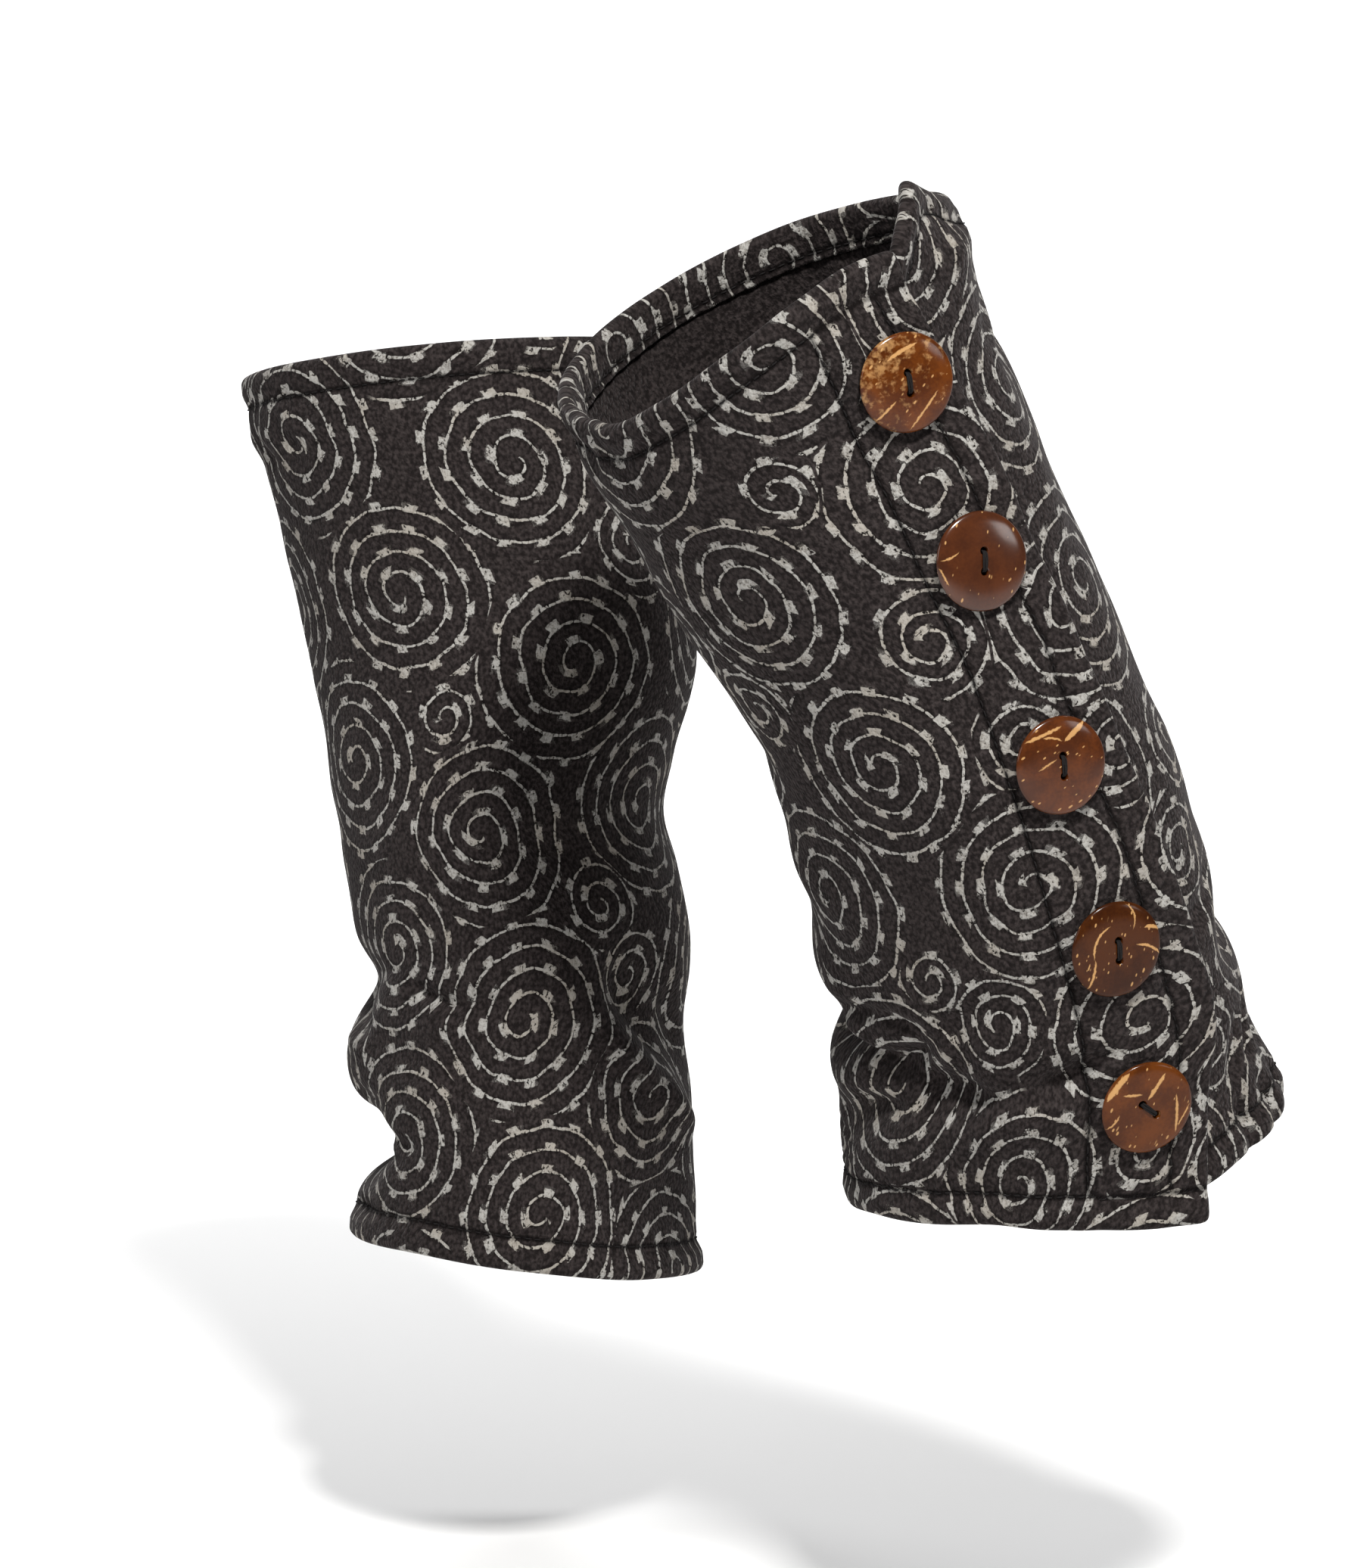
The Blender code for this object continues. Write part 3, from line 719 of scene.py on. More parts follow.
def tube_faces(rings: int, sides: int) -> list[tuple[int, ...]]:
    """Faces of a tube of rings, closed at both ends."""
    ends = [tuple(range(sides)), tuple(range((rings - 1) * sides, rings * sides))]
    return [tuple(face) for face in ring_faces(rings, sides)] + ends


def tubes(name: str, centres: Array, across: Array, radii: Array, sides: int = 6) -> bpy.types.Object:
    """Many short tubes in one object, such as the stitches of a seam.

    Args:
        name: the object's name.
        centres: middle points, as (tube, ring, 3).
        across: a direction across each ring, in the same form.
        radii: each ring's radius, as (ring,).
        sides: how many sides a tube has.

    Returns:
        The object, in the scene.
    """
    run = np.gradient(centres, axis=1)
    run /= np.linalg.norm(run, axis=-1, keepdims=True)
    across = across - (across * run).sum(-1, keepdims=True) * run
    across /= np.linalg.norm(across, axis=-1, keepdims=True)
    other = np.cross(run, across)
    around = np.linspace(0, math.tau, sides, endpoint=False)[:, None]
    ring = across[..., None, :] * np.cos(around) + other[..., None, :] * np.sin(around)
    points = centres[..., None, :] + ring * radii[:, None, None]
    count, rings = centres.shape[:2]
    one, size = tube_faces(rings, sides), rings * sides
    faces = [tuple(corner + n * size for corner in face) for n in range(count) for face in one]
    return mesh_object(name, points.reshape(-1, 3), faces)


def write_vectors(mesh: bpy.types.Mesh, name: str, domain: str, *columns: Array) -> None:
    """Stores three numbers for each point or corner of a mesh, for its finish.

    Args:
        mesh: the mesh.
        name: what the finish calls them.
        domain: POINT or CORNER.
        columns: the numbers, in one or more columns.
    """
    stored = mesh.attributes.new(name, "FLOAT_VECTOR", domain)
    stored.data.foreach_set("vector", np.column_stack(columns).astype(np.float32).ravel())


# The print's layout


@dataclass
class SpiralLayout:
    """Spirals of mixed sizes, laid edge to edge over the flat strip in an order of their own."""

    seed: int
    low: Point2
    high: Point2
    large: tuple[float, ...] = (0.0300, 0.0285, 0.0265, 0.0310)
    small: tuple[float, ...] = (0.0160, 0.0135)
    filling: tuple[float, ...] = (0.0150, 0.0125, 0.0105)
    small_share: float = 0.26
    overlap: float = 0.0002
    start: Point2 = (0.012, 0.016)
    second_drop: float = 0.006
    past_edge: float = 0.6
    slant: float = 0.12
    circles: list[tuple[float, float, float]] = field(default_factory=list)

    def __post_init__(self) -> None:
        """Lays the spirals, then fills the gaps with small ones."""
        chance = np.random.default_rng(self.seed)
        first, second = self.large[:2]
        x, y = self.low[0] + self.start[0], self.low[1] + self.start[1]
        self.circles = [(x, y, first), (x + first + second, y - self.second_drop, second)]
        while True:
            large = chance.uniform() > self.small_share
            size = float(chance.choice(self.large if large else self.small))
            if not (self.lay(size) or self.lay(self.large[2])):
                break
        for size in self.filling:
            while self.lay(size):
                pass
        rows = np.array(self.circles)
        self.middles, self.sizes = rows[:, :2], rows[:, 2]
        self.spins = chance.uniform(0, 1, len(rows))
        self.marks = chance.uniform(0, 1, len(rows))

    def lay(self, size: float) -> bool:
        """Lays one more spiral where it touches two others, as low down as it goes.

        Args:
            size: its radius.

        Returns:
            Whether there was room.
        """
        rows = np.array(self.circles)
        a, b = np.triu_indices(len(rows), 1)
        to_a, to_b = rows[a, 2] + size, rows[b, 2] + size
        between = rows[b, :2] - rows[a, :2]
        far = np.linalg.norm(between, axis=1)
        along = (far**2 + to_a**2 - to_b**2) / (2 * far)
        beside = to_a**2 - along**2
        meets = beside > 0
        unit = between[meets] / far[meets, None]
        foot = rows[a[meets], :2] + unit * along[meets, None]
        normal = np.stack([-unit[:, 1], unit[:, 0]], -1) * np.sqrt(beside[meets])[:, None]
        spots = np.concatenate([foot + normal, foot - normal])
        margin = self.past_edge * size
        inside = (spots > np.array(self.low) - margin) & (spots < np.array(self.high) + margin)
        room = np.linalg.norm(spots[:, None] - rows[:, :2], axis=-1) - rows[:, 2] - size
        spots = spots[inside.all(1) & (room > -self.overlap).all(1)]
        if not len(spots):
            return False
        spot = spots[np.argmin(spots[:, 1] + self.slant * spots[:, 0])]
        self.circles.append((float(spot[0]), float(spot[1]), size))
        return True

    def put_on(self, mesh: bpy.types.Mesh, flat: Array, printed: Array) -> None:
        """Gives each corner of a mesh its place in the spiral that it belongs to.

        Args:
            mesh: a mesh of four-sided faces.
            flat: each point's place on the flat strip.
            printed: which points carry print.
        """
        corners = np.empty(len(mesh.loops), np.int32)
        mesh.loops.foreach_get("vertex_index", corners)
        quads, here = corners.reshape(-1, 4), flat[corners]
        owner = np.repeat(np.argmin(self.gaps(flat[quads].mean(1)), axis=1), 4)
        gap, each = self.gaps(here), np.arange(len(owner))
        own = gap[each, owner]
        gap[each, owner] = np.inf
        edge = np.where(np.repeat(printed[quads].all(1), 4), (gap.min(1) - own) / 2, -1.0)
        write_vectors(mesh, "spiral_place", "CORNER", here - self.middles[owner], self.sizes[owner])
        write_vectors(mesh, "spiral_cell", "CORNER", edge, self.spins[owner], self.marks[owner])

    def gaps(self, places: Array) -> Array:
        """How far each place lies from each spiral's rim; below zero is inside it."""
        return np.linalg.norm(places[:, None] - self.middles, axis=-1) - self.sizes


# Finishes


class Signal:
    """A number that changes over a surface: a node's output that takes part in sums."""

    def __init__(self, recipe: "Recipe", socket: bpy.types.NodeSocket) -> None:
        """Wraps an output socket of a recipe."""
        self.recipe = recipe
        self.socket = socket

    def __add__(self, other: "Signal | float") -> "Signal":
        """self + other."""
        return self.recipe.maths("ADD", self, other)

    __radd__ = __add__

    def __sub__(self, other: "Signal | float") -> "Signal":
        """self - other."""
        return self.recipe.maths("SUBTRACT", self, other)

    def __rsub__(self, other: float) -> "Signal":
        """other - self."""
        return self.recipe.maths("SUBTRACT", other, self)

    def __mul__(self, other: "Signal | float") -> "Signal":
        """self * other."""
        return self.recipe.maths("MULTIPLY", self, other)

    __rmul__ = __mul__

    def __truediv__(self, other: "Signal | float") -> "Signal":
        """self / other."""
        return self.recipe.maths("DIVIDE", self, other)

    def __pow__(self, other: float) -> "Signal":
        """self to a power."""
        return self.recipe.maths("POWER", self, other)

    def __abs__(self) -> "Signal":
        """The size of self without its sign."""
        return self.recipe.maths("ABSOLUTE", self)

    def __round__(self) -> "Signal":
        """The nearest whole number."""
        return self.recipe.maths("ROUND", self)


class Recipe:
    """The nodes of one finish."""

    def __init__(self, name: str, **plain: float | tuple) -> None:
        """Starts a finish.

        Args:
            name: the material's name.
            plain: values of the shader that are the same all over, by socket name with _ for a space.
        """
        self.material = bpy.data.materials.new(name)
        self.material.use_nodes = True
        self.tree = self.material.node_tree
        self.shader = next(node for node in self.tree.nodes if node.type == "BSDF_PRINCIPLED")
        for socket, value in plain.items():
            value = (*value, 1.0) if isinstance(value, tuple) and len(value) == 3 else value
            self.shader.inputs[socket.replace("_", " ")].default_value = value

    def node(
        self, kind: str, settings: dict | None = None, sockets: dict | None = None
    ) -> tuple[Signal, ...]:
        """Adds a node.

        Args:
            kind: its type, without the leading ShaderNode.
            settings: its own settings, set first.
            sockets: values or signals of its inputs, by name or number.

        Returns:
            Its outputs.
        """
        made = self.tree.nodes.new("ShaderNode" + kind)
        for key, value in (settings or {}).items():
            setattr(made, key, value)
        for key, value in (sockets or {}).items():
            if isinstance(value, Signal):
                self.tree.links.new(value.socket, made.inputs[key])
            else:
                made.inputs[key].default_value = value
        return tuple(Signal(self, output) for output in made.outputs)

    def maths(self, operation: str, *values: Signal | float) -> Signal:
        """The result of a Math node's operation on the values."""
        return self.node("Math", {"operation": operation}, dict(enumerate(values)))[0]

    def most(self, *values: Signal) -> Signal:
        """The greatest of the values."""
        return functools.reduce(functools.partial(self.maths, "MAXIMUM"), values)

    def rise(self, value: Signal, start: float | Signal, end: float | Signal) -> Signal:
        """A soft step from 0 at start to 1 at end."""
        sockets = {"Value": value, "From Min": start, "From Max": end}
        return self.node("MapRange", {"interpolation_type": "SMOOTHSTEP"}, sockets)[0]

    def fall(self, value: Signal, start: float | Signal, end: float | Signal) -> Signal:
        """A soft step from 1 at start to 0 at end."""
        return 1.0 - self.rise(value, start, end)

    def mix(self, share: Signal | float, low: Colour | Signal, high: Colour | Signal) -> Signal:
        """A colour between two others."""
        low, high = ((*c, 1.0) if isinstance(c, tuple) else c for c in (low, high))
        return self.node("Mix", {"data_type": "RGBA"}, {0: share, 6: low, 7: high})[2]

    def parts(self, vector: Signal) -> tuple[Signal, ...]:
        """The three numbers of a vector."""
        return self.node("SeparateXYZ", None, {0: vector})

    def joined(self, *parts: Signal | float) -> Signal:
        """A vector of up to three numbers."""
        return self.node("CombineXYZ", None, dict(enumerate(parts)))[0]

    def stored(self, name: str) -> Signal:
        """The vector that the mesh stores under a name."""
        return self.node("Attribute", {"attribute_name": name})[1]

    def object_place(self) -> Signal:
        """The place in the object's own directions."""
        return self.node("TexCoord")[3]

    def moved(self, place: Signal, by: Point) -> Signal:
        """The place, moved."""
        return self.node("VectorMath", {"operation": "ADD"}, {0: place, 1: by})[0]

    def noise(self, place: Signal, size: float, detail: float) -> Signal:
        """Cloudy noise from 0 to 1, with patches about size across."""
        return self.node("TexNoise", None, {"Vector": place, "Scale": 1 / size, "Detail": detail})[0]

    def cells(self, place: Signal, size: float, feature: str = "F1") -> tuple[Signal, Signal]:
        """The distance in random cells of a size, in cells, and each cell's random colour."""
        return self.node("TexVoronoi", {"feature": feature}, {"Vector": place, "Scale": 1 / size})[:2]

    def random(self, vector: Signal) -> tuple[Signal, ...]:
        """Three random numbers from 0 to 1 for a vector."""
        return self.parts(self.node("TexWhiteNoise", {"noise_dimensions": "3D"}, {"Vector": vector})[1])

    def finish(
        self, colour: Signal, roughness: Signal | None, height: Signal, depth: float
    ) -> bpy.types.Material:
        """Feeds what changes over the surface to the shader.

        Args:
            colour: the base colour.
            roughness: the roughness, if it changes.
            height: the relief, from about 0 to 1.
            depth: how deep the relief is, in metres.

        Returns:
            The material.
        """
        bump = self.node("Bump", None, {"Strength": 1.0, "Distance": depth, "Height": height})[0]
        for socket, signal in {"Base Color": colour, "Normal": bump, "Roughness": roughness}.items():
            if signal is not None:
                self.tree.links.new(signal.socket, self.shader.inputs[socket])
        return self.material


@dataclass(frozen=True)
class PrintedFleece:
    """Charcoal fleece with a pebbly nap, and a crackled pale print of spirals set with small blocks. The colour
    carries painted shade in the nap's pits, beside the print's lines and along the seams, and painted light on the
    nap's tops.
    """

    name: str = "printed_fleece"
    # the colour of the painted shade beside the print's lines and along the seams
    painted_shade: Colour = (0.0030, 0.0022, 0.0021)
    # shade and lit: painted shade in the nap's pits and painted light on its tops
    shade: Colour = (0.0100, 0.0080, 0.0078)
    lit: Colour = (0.0385, 0.0312, 0.0304)
    ink: Colour = (0.335, 0.326, 0.306)
    ink_worn: Colour = (0.180, 0.166, 0.150)
    ink_tan: Colour = (0.272, 0.238, 0.195)
    tuft: float = 0.00115
    relief: float = 0.00034
    line_half: float = 0.00039
    pitch_base: float = 0.0042
    pitch_growth: float = 0.090
    block_spacing: float = 0.0106
    block_half_along: float = 0.00184
    block_half_across: float = 0.00128
    block_outward: float = 0.00085
    dash: float = 0.0034
    groove: float = 0.0015
    seam_shade_strength: float = 0.85
    fibre_size: float = 0.0005
    pebble_size: float = 0.0012
    cloud_size: float = 0.0070
    fading_size: float = 0.0240
    waver_size: float = 0.0130
    waver: float = 0.0034
    ragged_size: float = 0.0013
    ragged: float = 0.0006
    crack_size: float = 0.0021
    broken_size: float = 0.0030
    ink_edge: float = 0.00007

    def material(self) -> bpy.types.Material:
        """Makes the finish.

        Returns:
            The material.
        """
        r = Recipe(
            self.name,
            Sheen_Weight=0.08,
            Sheen_Roughness=0.40,
            Sheen_Tint=(0.72, 0.68, 0.69),
            Specular_IOR_Level=0.05,
        )
        place = r.stored("cloth_place")
        x, y, side = r.parts(place)
        pile = r.joined(x, y * 0.8, side)
        fibre = r.noise(pile, self.fibre_size, 2.0)
        cloud = r.noise(place, self.cloud_size, 3.0)
        tuft, _ = r.cells(r.joined(x + (fibre - 0.5) * 0.0009, y * 0.8, side), self.tuft)
        pebble = r.noise(r.moved(pile, (0.5, 0.2, 0.0)), self.pebble_size, 2.0)
        nap = r.rise(pebble - tuft * 0.34 + (fibre - 0.5) * 0.16 + (cloud - 0.5) * 0.12, 0.10, 0.62)
        cover, painted_line_shade = self.cover(r, place, fibre, nap)
        painted_seam_shade = self.painted_seam_shade(r, fibre)
        # the base colour: painted shade and light over the nap, and darker painted shade beside the print's lines and
        # along the seams
        base = r.mix(r.most(painted_line_shade * 0.50, painted_seam_shade), r.mix(nap, self.shade, self.lit), self.painted_shade)
        fresh = r.rise(fibre * 0.7 + nap * 0.3 + (cloud - 0.5) * 0.4, 0.26, 0.58)
        tan = r.rise(r.noise(place, self.fading_size, 1.0), 0.46, 0.66)
        ink = r.mix(tan * 0.5, r.mix(fresh, self.ink_worn, self.ink), self.ink_tan)
        # where the seams carry painted shade the ink gives way to the shaded base
        colour = r.mix(cover * (1.0 - painted_seam_shade * 0.7), base, ink)
        height = nap * (1.0 - cover * 0.35) + cover * 0.2
        return r.finish(colour, 0.97 - cover * 0.15, height, self.relief)

    def painted_seam_shade(self, r: Recipe, fibre: Signal) -> Signal:
        """Painted shade along the seams' stitch lines, where the pile is pressed in.

        Args:
            r: the finish's recipe.
            fibre: fine noise.

        Returns:
            The painted shade, from 0 to 1.
        """
        places = r.parts(r.stored("seam_place"))
        frayed = (fibre - 0.5) * 0.0008
        line, edge, hem = (r.fall(abs(away) + frayed, 0.0002, self.groove) for away in places)
        body = r.rise(places[2], -0.0004, 0.0004)
        return r.most(r.most(line, edge) * body, hem) * self.seam_shade_strength

    def cover(self, r: Recipe, place: Signal, fibre: Signal, nap: Signal) -> tuple[Signal, Signal]:
        """How much of the cloth the ink covers, and the painted shade beside its lines.

        Args:
            r: the finish's recipe.
            place: the place on the flat cloth.
            fibre: fine noise.
            nap: the nap's height.

        Returns:
            The cover and the painted shade beside the lines, from 0 to 1.
        """
        x, y, size = r.parts(r.stored("spiral_place"))
        edge, spin, mark = r.parts(r.stored("spiral_cell"))
        x = x + (r.noise(place, self.waver_size, 1.0) - 0.5) * self.waver
        y = y + (r.noise(r.moved(place, (0.3, 0.1, 0.0)), self.waver_size, 1.0) - 0.5) * self.waver
        pitch = size * self.pitch_growth + self.pitch_base
        reach = (x * x + y * y) ** 0.5
        angle = spin - r.maths("ARCTAN2", y, x) / math.tau
        turns = round(reach / pitch - angle) + angle
        off = reach - pitch * turns
        along = turns * turns * pitch * math.pi
        ragged = (r.noise(place, self.ragged_size, 1.0) - 0.5) * self.ragged
        step = along / self.dash + mark * 7.0
        number = round(step)
        slip, lean, wide = r.random(r.joined(number, mark * 91.0, 3.0))
        gap = abs(step - number + (slip - 0.5) * 0.55 + off * (lean - 0.5) * 500.0)
        waist = self.line_half * (0.76 + 0.32 * r.rise(gap, 0.0, 0.30))
        line = self.drawn(r, off, ragged, waist) * r.rise(gap - wide * wide * 0.05, 0.012, 0.040)
        step = along / self.block_spacing + mark * 3.0
        number = round(step)
        slide, stand, slant = r.random(r.joined(number, mark * 57.0, 8.0))
        run = (step - number) * self.block_spacing + (slide - 0.5) * 0.0022
        rise = off - self.block_outward - (stand - 0.5) * 0.0009
        run = run + rise * (slant - 0.5) * 1.1
        block = self.drawn(r, run, ragged * 1.6, self.block_half_along)
        block = block * self.drawn(r, rise, ragged * 1.4, self.block_half_across)
        crack, _ = r.cells(r.moved(place, (0.7, 0.4, 0.0)), self.crack_size, "DISTANCE_TO_EDGE")
        broken = r.noise(r.moved(place, (0.2, 0.8, 0.0)), self.broken_size, 2.0)
        sound = r.rise(crack + r.rise(broken, 0.38, 0.56), 0.030, 0.075)
        ends = r.rise(turns, 0.28, 0.31) * r.fall(turns - size / pitch, 0.28, 0.30)
        inside = r.rise(edge, 0.0003, 0.0006)
        pits = r.rise(nap + (fibre - 0.5) * 0.2, 0.00, 0.09)
        # painted shade in a band beside each line of the spiral
        painted_line_shade = r.fall(abs(off), 0.0003, 0.0018) * ends * inside
        return r.most(line, block * sound) * ends * inside * pits, painted_line_shade

    def drawn(self, r: Recipe, off: Signal, ragged: Signal, half: Signal | float) -> Signal:
        """A stroke of ink of a half width, with a ragged edge, by how far places lie off its middle."""
        return r.fall(abs(off) + ragged - half, -self.ink_edge, self.ink_edge)


@dataclass(frozen=True)
class Thread:
    """Matt sewing thread with a fine twist; the twist's ridges carry painted light."""

    name: str = "charcoal_thread"
    colour: Colour = (0.0050, 0.0043, 0.0043)
    # lit: painted light on the twist's ridges
    lit: Colour = (0.0130, 0.0112, 0.0112)

    def material(self) -> bpy.types.Material:
        """Makes the finish.

        Returns:
            The material.
        """
        r = Recipe(self.name, Roughness=0.80, Specular_IOR_Level=0.15)
        place = r.object_place()
        twist = r.noise(place, 0.00035, 1.0)
        # the twist mixes the thread's colour with its painted light
        return r.finish(r.mix(twist, self.colour, self.lit), None, twist, 0.0001)


@dataclass(frozen=True)
class Streak:
    """A pale fibre in a button's face, between two places in shares of the radius."""

    x0: float
    y0: float
    x1: float
    y1: float
    width: float = 0.045
    bow: float = 0.0


@dataclass(frozen=True)
class CoconutShell:
    """Polished coconut shell. The shares say how much of each small marking a button shows."""

    name: str
    ground: Colour
    deep: Colour
    specks: float
    slivers: float
    patches: float
    grain_angle: float
    streaks: tuple[Streak, ...]
    pale: Colour = (0.470, 0.260, 0.100)
    patch_side: Point2 = (-0.6, 0.8)
    polish: float = 0.55
    radius: float = 0.0140
    cloud_size: float = 0.0080
    fine_size: float = 0.0009
    speck_size: float = 0.0013
    sliver_size: float = 0.0017
    patch_size: float = 0.0026

    def material(self) -> bpy.types.Material:
        """Makes the finish.

        Returns:
            The material.
        """
        r = Recipe(self.name, Coat_Weight=self.polish, Coat_Roughness=0.16, Specular_IOR_Level=0.02)
        place = r.stored("face_place")
        x, y, z = r.parts(place)
        c, s = math.cos(math.radians(self.grain_angle)), math.sin(math.radians(self.grain_angle))
        along, across = x * c + y * s, y * c - x * s
        cloud = r.noise(place, self.cloud_size, 3.0)
        fine = r.noise(place, self.fine_size, 3.0)
        ground = r.mix(r.rise(cloud + (fine - 0.5) * 0.4, 0.32, 0.72), self.deep, self.ground)
        dot, chance = r.cells(r.joined(along * 0.45, across, z), self.speck_size)
        lucky, _, big = r.parts(chance)
        specks = r.fall(dot + (fine - 0.5) * 0.15, 0.06 + big * 0.15, 0.14 + big * 0.17)
        marks = specks * r.rise(lucky, 1.0 - self.specks, 1.02 - self.specks) * 0.9
        split = r.joined(along * 0.22, across + fine * 0.0004, z)
        sliver, chance = r.cells(r.moved(split, (0.1, 0.2, 0.0)), self.sliver_size)
        slivers = r.fall(sliver, 0.08, 0.17) * r.rise(r.parts(chance)[0], 1.0 - self.slivers, 1.001)
        marks = r.most(marks, slivers, *(self.drawn(r, streak, x, y, fine) for streak in self.streaks))
        if self.patches:
            side = (x * self.patch_side[0] + y * self.patch_side[1]) / self.radius
            patch = r.noise(r.moved(place, (0.9, 0.3, 0.0)), self.patch_size, 4.0) + side * 0.13
            marks = r.most(marks, r.rise(patch + (fine - 0.5) * 0.35, 0.52, 0.78) * self.patches)
        colour = r.mix(marks * 0.92, ground, self.pale)
        return r.finish(colour, 0.30 + marks * 0.14 + fine * 0.06, fine * 0.2 + marks * 0.5, 0.00003)

    def drawn(self, r: Recipe, streak: Streak, x: Signal, y: Signal, fine: Signal) -> Signal:
        """One pale fibre, tapered at both ends.

        Args:
            r: the finish's recipe.
            streak: where it lies.
            x: the place on the face, across.
            y: the place on the face, upwards.
            fine: fine noise.

        Returns:
            Its cover, from 0 to 1.
        """
        dx, dy = streak.x1 - streak.x0, streak.y1 - streak.y0
        length = math.hypot(dx, dy)
        dx, dy = dx / length, dy / length
        mid_x, mid_y = (streak.x0 + streak.x1) / 2, (streak.y0 + streak.y1) / 2
        x, y = x / self.radius - mid_x, y / self.radius - mid_y
        along = (x * dx + y * dy) * (2 / length)
        beyond = along * along
        off = abs(y * dx - x * dy - (1.0 - beyond) * streak.bow + (fine - 0.5) * 0.06)
        return r.fall(off - (1.0 - beyond * beyond) * streak.width * 0.72, -0.012, 0.012)


SHELLS = (
    CoconutShell(
        name="amber_shell",
        ground=(0.105, 0.0262, 0.0028),
        deep=(0.054, 0.0122, 0.0018),
        specks=0.30, slivers=0.14, patches=0.60, polish=0.50, grain_angle=42.0,
        streaks=table(
            Streak,
            (-0.1, -0.92, 0.58, -0.28, 0.03), (-0.02, -0.86, 0.4, -0.46, 0.018),
            (-0.4, 0.52, 0.3, 0.74, 0.05, 0.03), (-0.8, -0.62, -0.34, -0.3, 0.03),
        ),
    ),
    CoconutShell(
        name="chestnut_shell",
        ground=(0.065, 0.0168, 0.0040),
        deep=(0.041, 0.0104, 0.0027),
        specks=0.34, slivers=0.02, patches=0.0, polish=1.0, grain_angle=75.0,
        streaks=table(
            Streak,
            (-0.93, 0.05, -0.56, 0.2, 0.02, -0.03), (-0.96, -0.1, -0.78, -0.44, 0.022),
        ),
    ),
    CoconutShell(
        name="flecked_shell",
        ground=(0.092, 0.0232, 0.0040),
        deep=(0.049, 0.0122, 0.0027),
        specks=0.54, slivers=0.16, patches=0.0, polish=0.60, grain_angle=28.0,
        streaks=table(
            Streak,
            (-0.78, 0.58, 0.02, 0.8, 0.045), (0.06, 0.5, 0.56, 0.82, 0.075),
            (-0.56, -0.02, -0.16, 0.16, 0.024), (-0.4, 0.62, 0, 0.52, 0.028, 0.03),
        ),
    ),
    CoconutShell(
        name="curled_shell",
        ground=(0.053, 0.0140, 0.0022),
        deep=(0.029, 0.0072, 0.0014),
        specks=0.62, slivers=0.16, patches=0.0, polish=0.30, grain_angle=70.0,
        streaks=table(
            Streak,
            (-0.56, -0.1, -0.18, 0.54, 0.034, 0.13), (-0.7, -0.72, -0.54, -0.12, 0.034, -0.04),
            (0.26, 0.92, 0.34, 0.4, 0.022, 0.1), (0.6, 0.38, 0.97, 0.26, 0.045, 0.05),
            (0.4, 0.06, 0.96, -0.26, 0.034, 0.07),
        ),
    ),
    CoconutShell(
        name="streaked_shell",
        ground=(0.100, 0.0262, 0.0034),
        deep=(0.054, 0.0132, 0.0020),
        specks=0.36, slivers=0.58, patches=0.0, polish=0.34, grain_angle=16.0,
        streaks=table(
            Streak,
            (0.15, 0.17, 0.8, 0.2, 0.055), (0.57, -0.31, -0.08, -0.85, 0.042, 0.02),
            (-0.36, 0.89, 0.38, 0.86, 0.075, 0.03), (-0.08, 0.69, 0.17, 0.36, 0.03),
            (-0.84, 0.5, -0.45, 0.49, 0.024, -0.04), (0.06, -0.8, 0.56, -0.73, 0.028),
        ),
    ),
)


@dataclass(frozen=True)
class PaleFloor:
    """A plain pale studio floor."""

    name: str = "pale_floor"
    colour: Colour = (0.86, 0.86, 0.86)

    def material(self) -> bpy.types.Material:
        """Makes the finish.

        Returns:
            The material.
        """
        r = Recipe(self.name, Roughness=0.9)
        place = r.object_place()
        cloud = r.noise(place, 0.4, 2.0)
        low = tuple(0.985 * c for c in self.colour)
        return r.finish(r.mix(cloud, low, self.colour), None, cloud, 0.0001)


# The pieces


class HemPlace(Enum):
    """At which end of the tube a hem lies."""

    TOP = "top"
    FOOT = "foot"


def there_and_back(out: Array, back: Array) -> Array:
    """Closed loops from two rows of points, of which the second runs back."""
    return np.concatenate([out, back[:, ::-1]], axis=1)


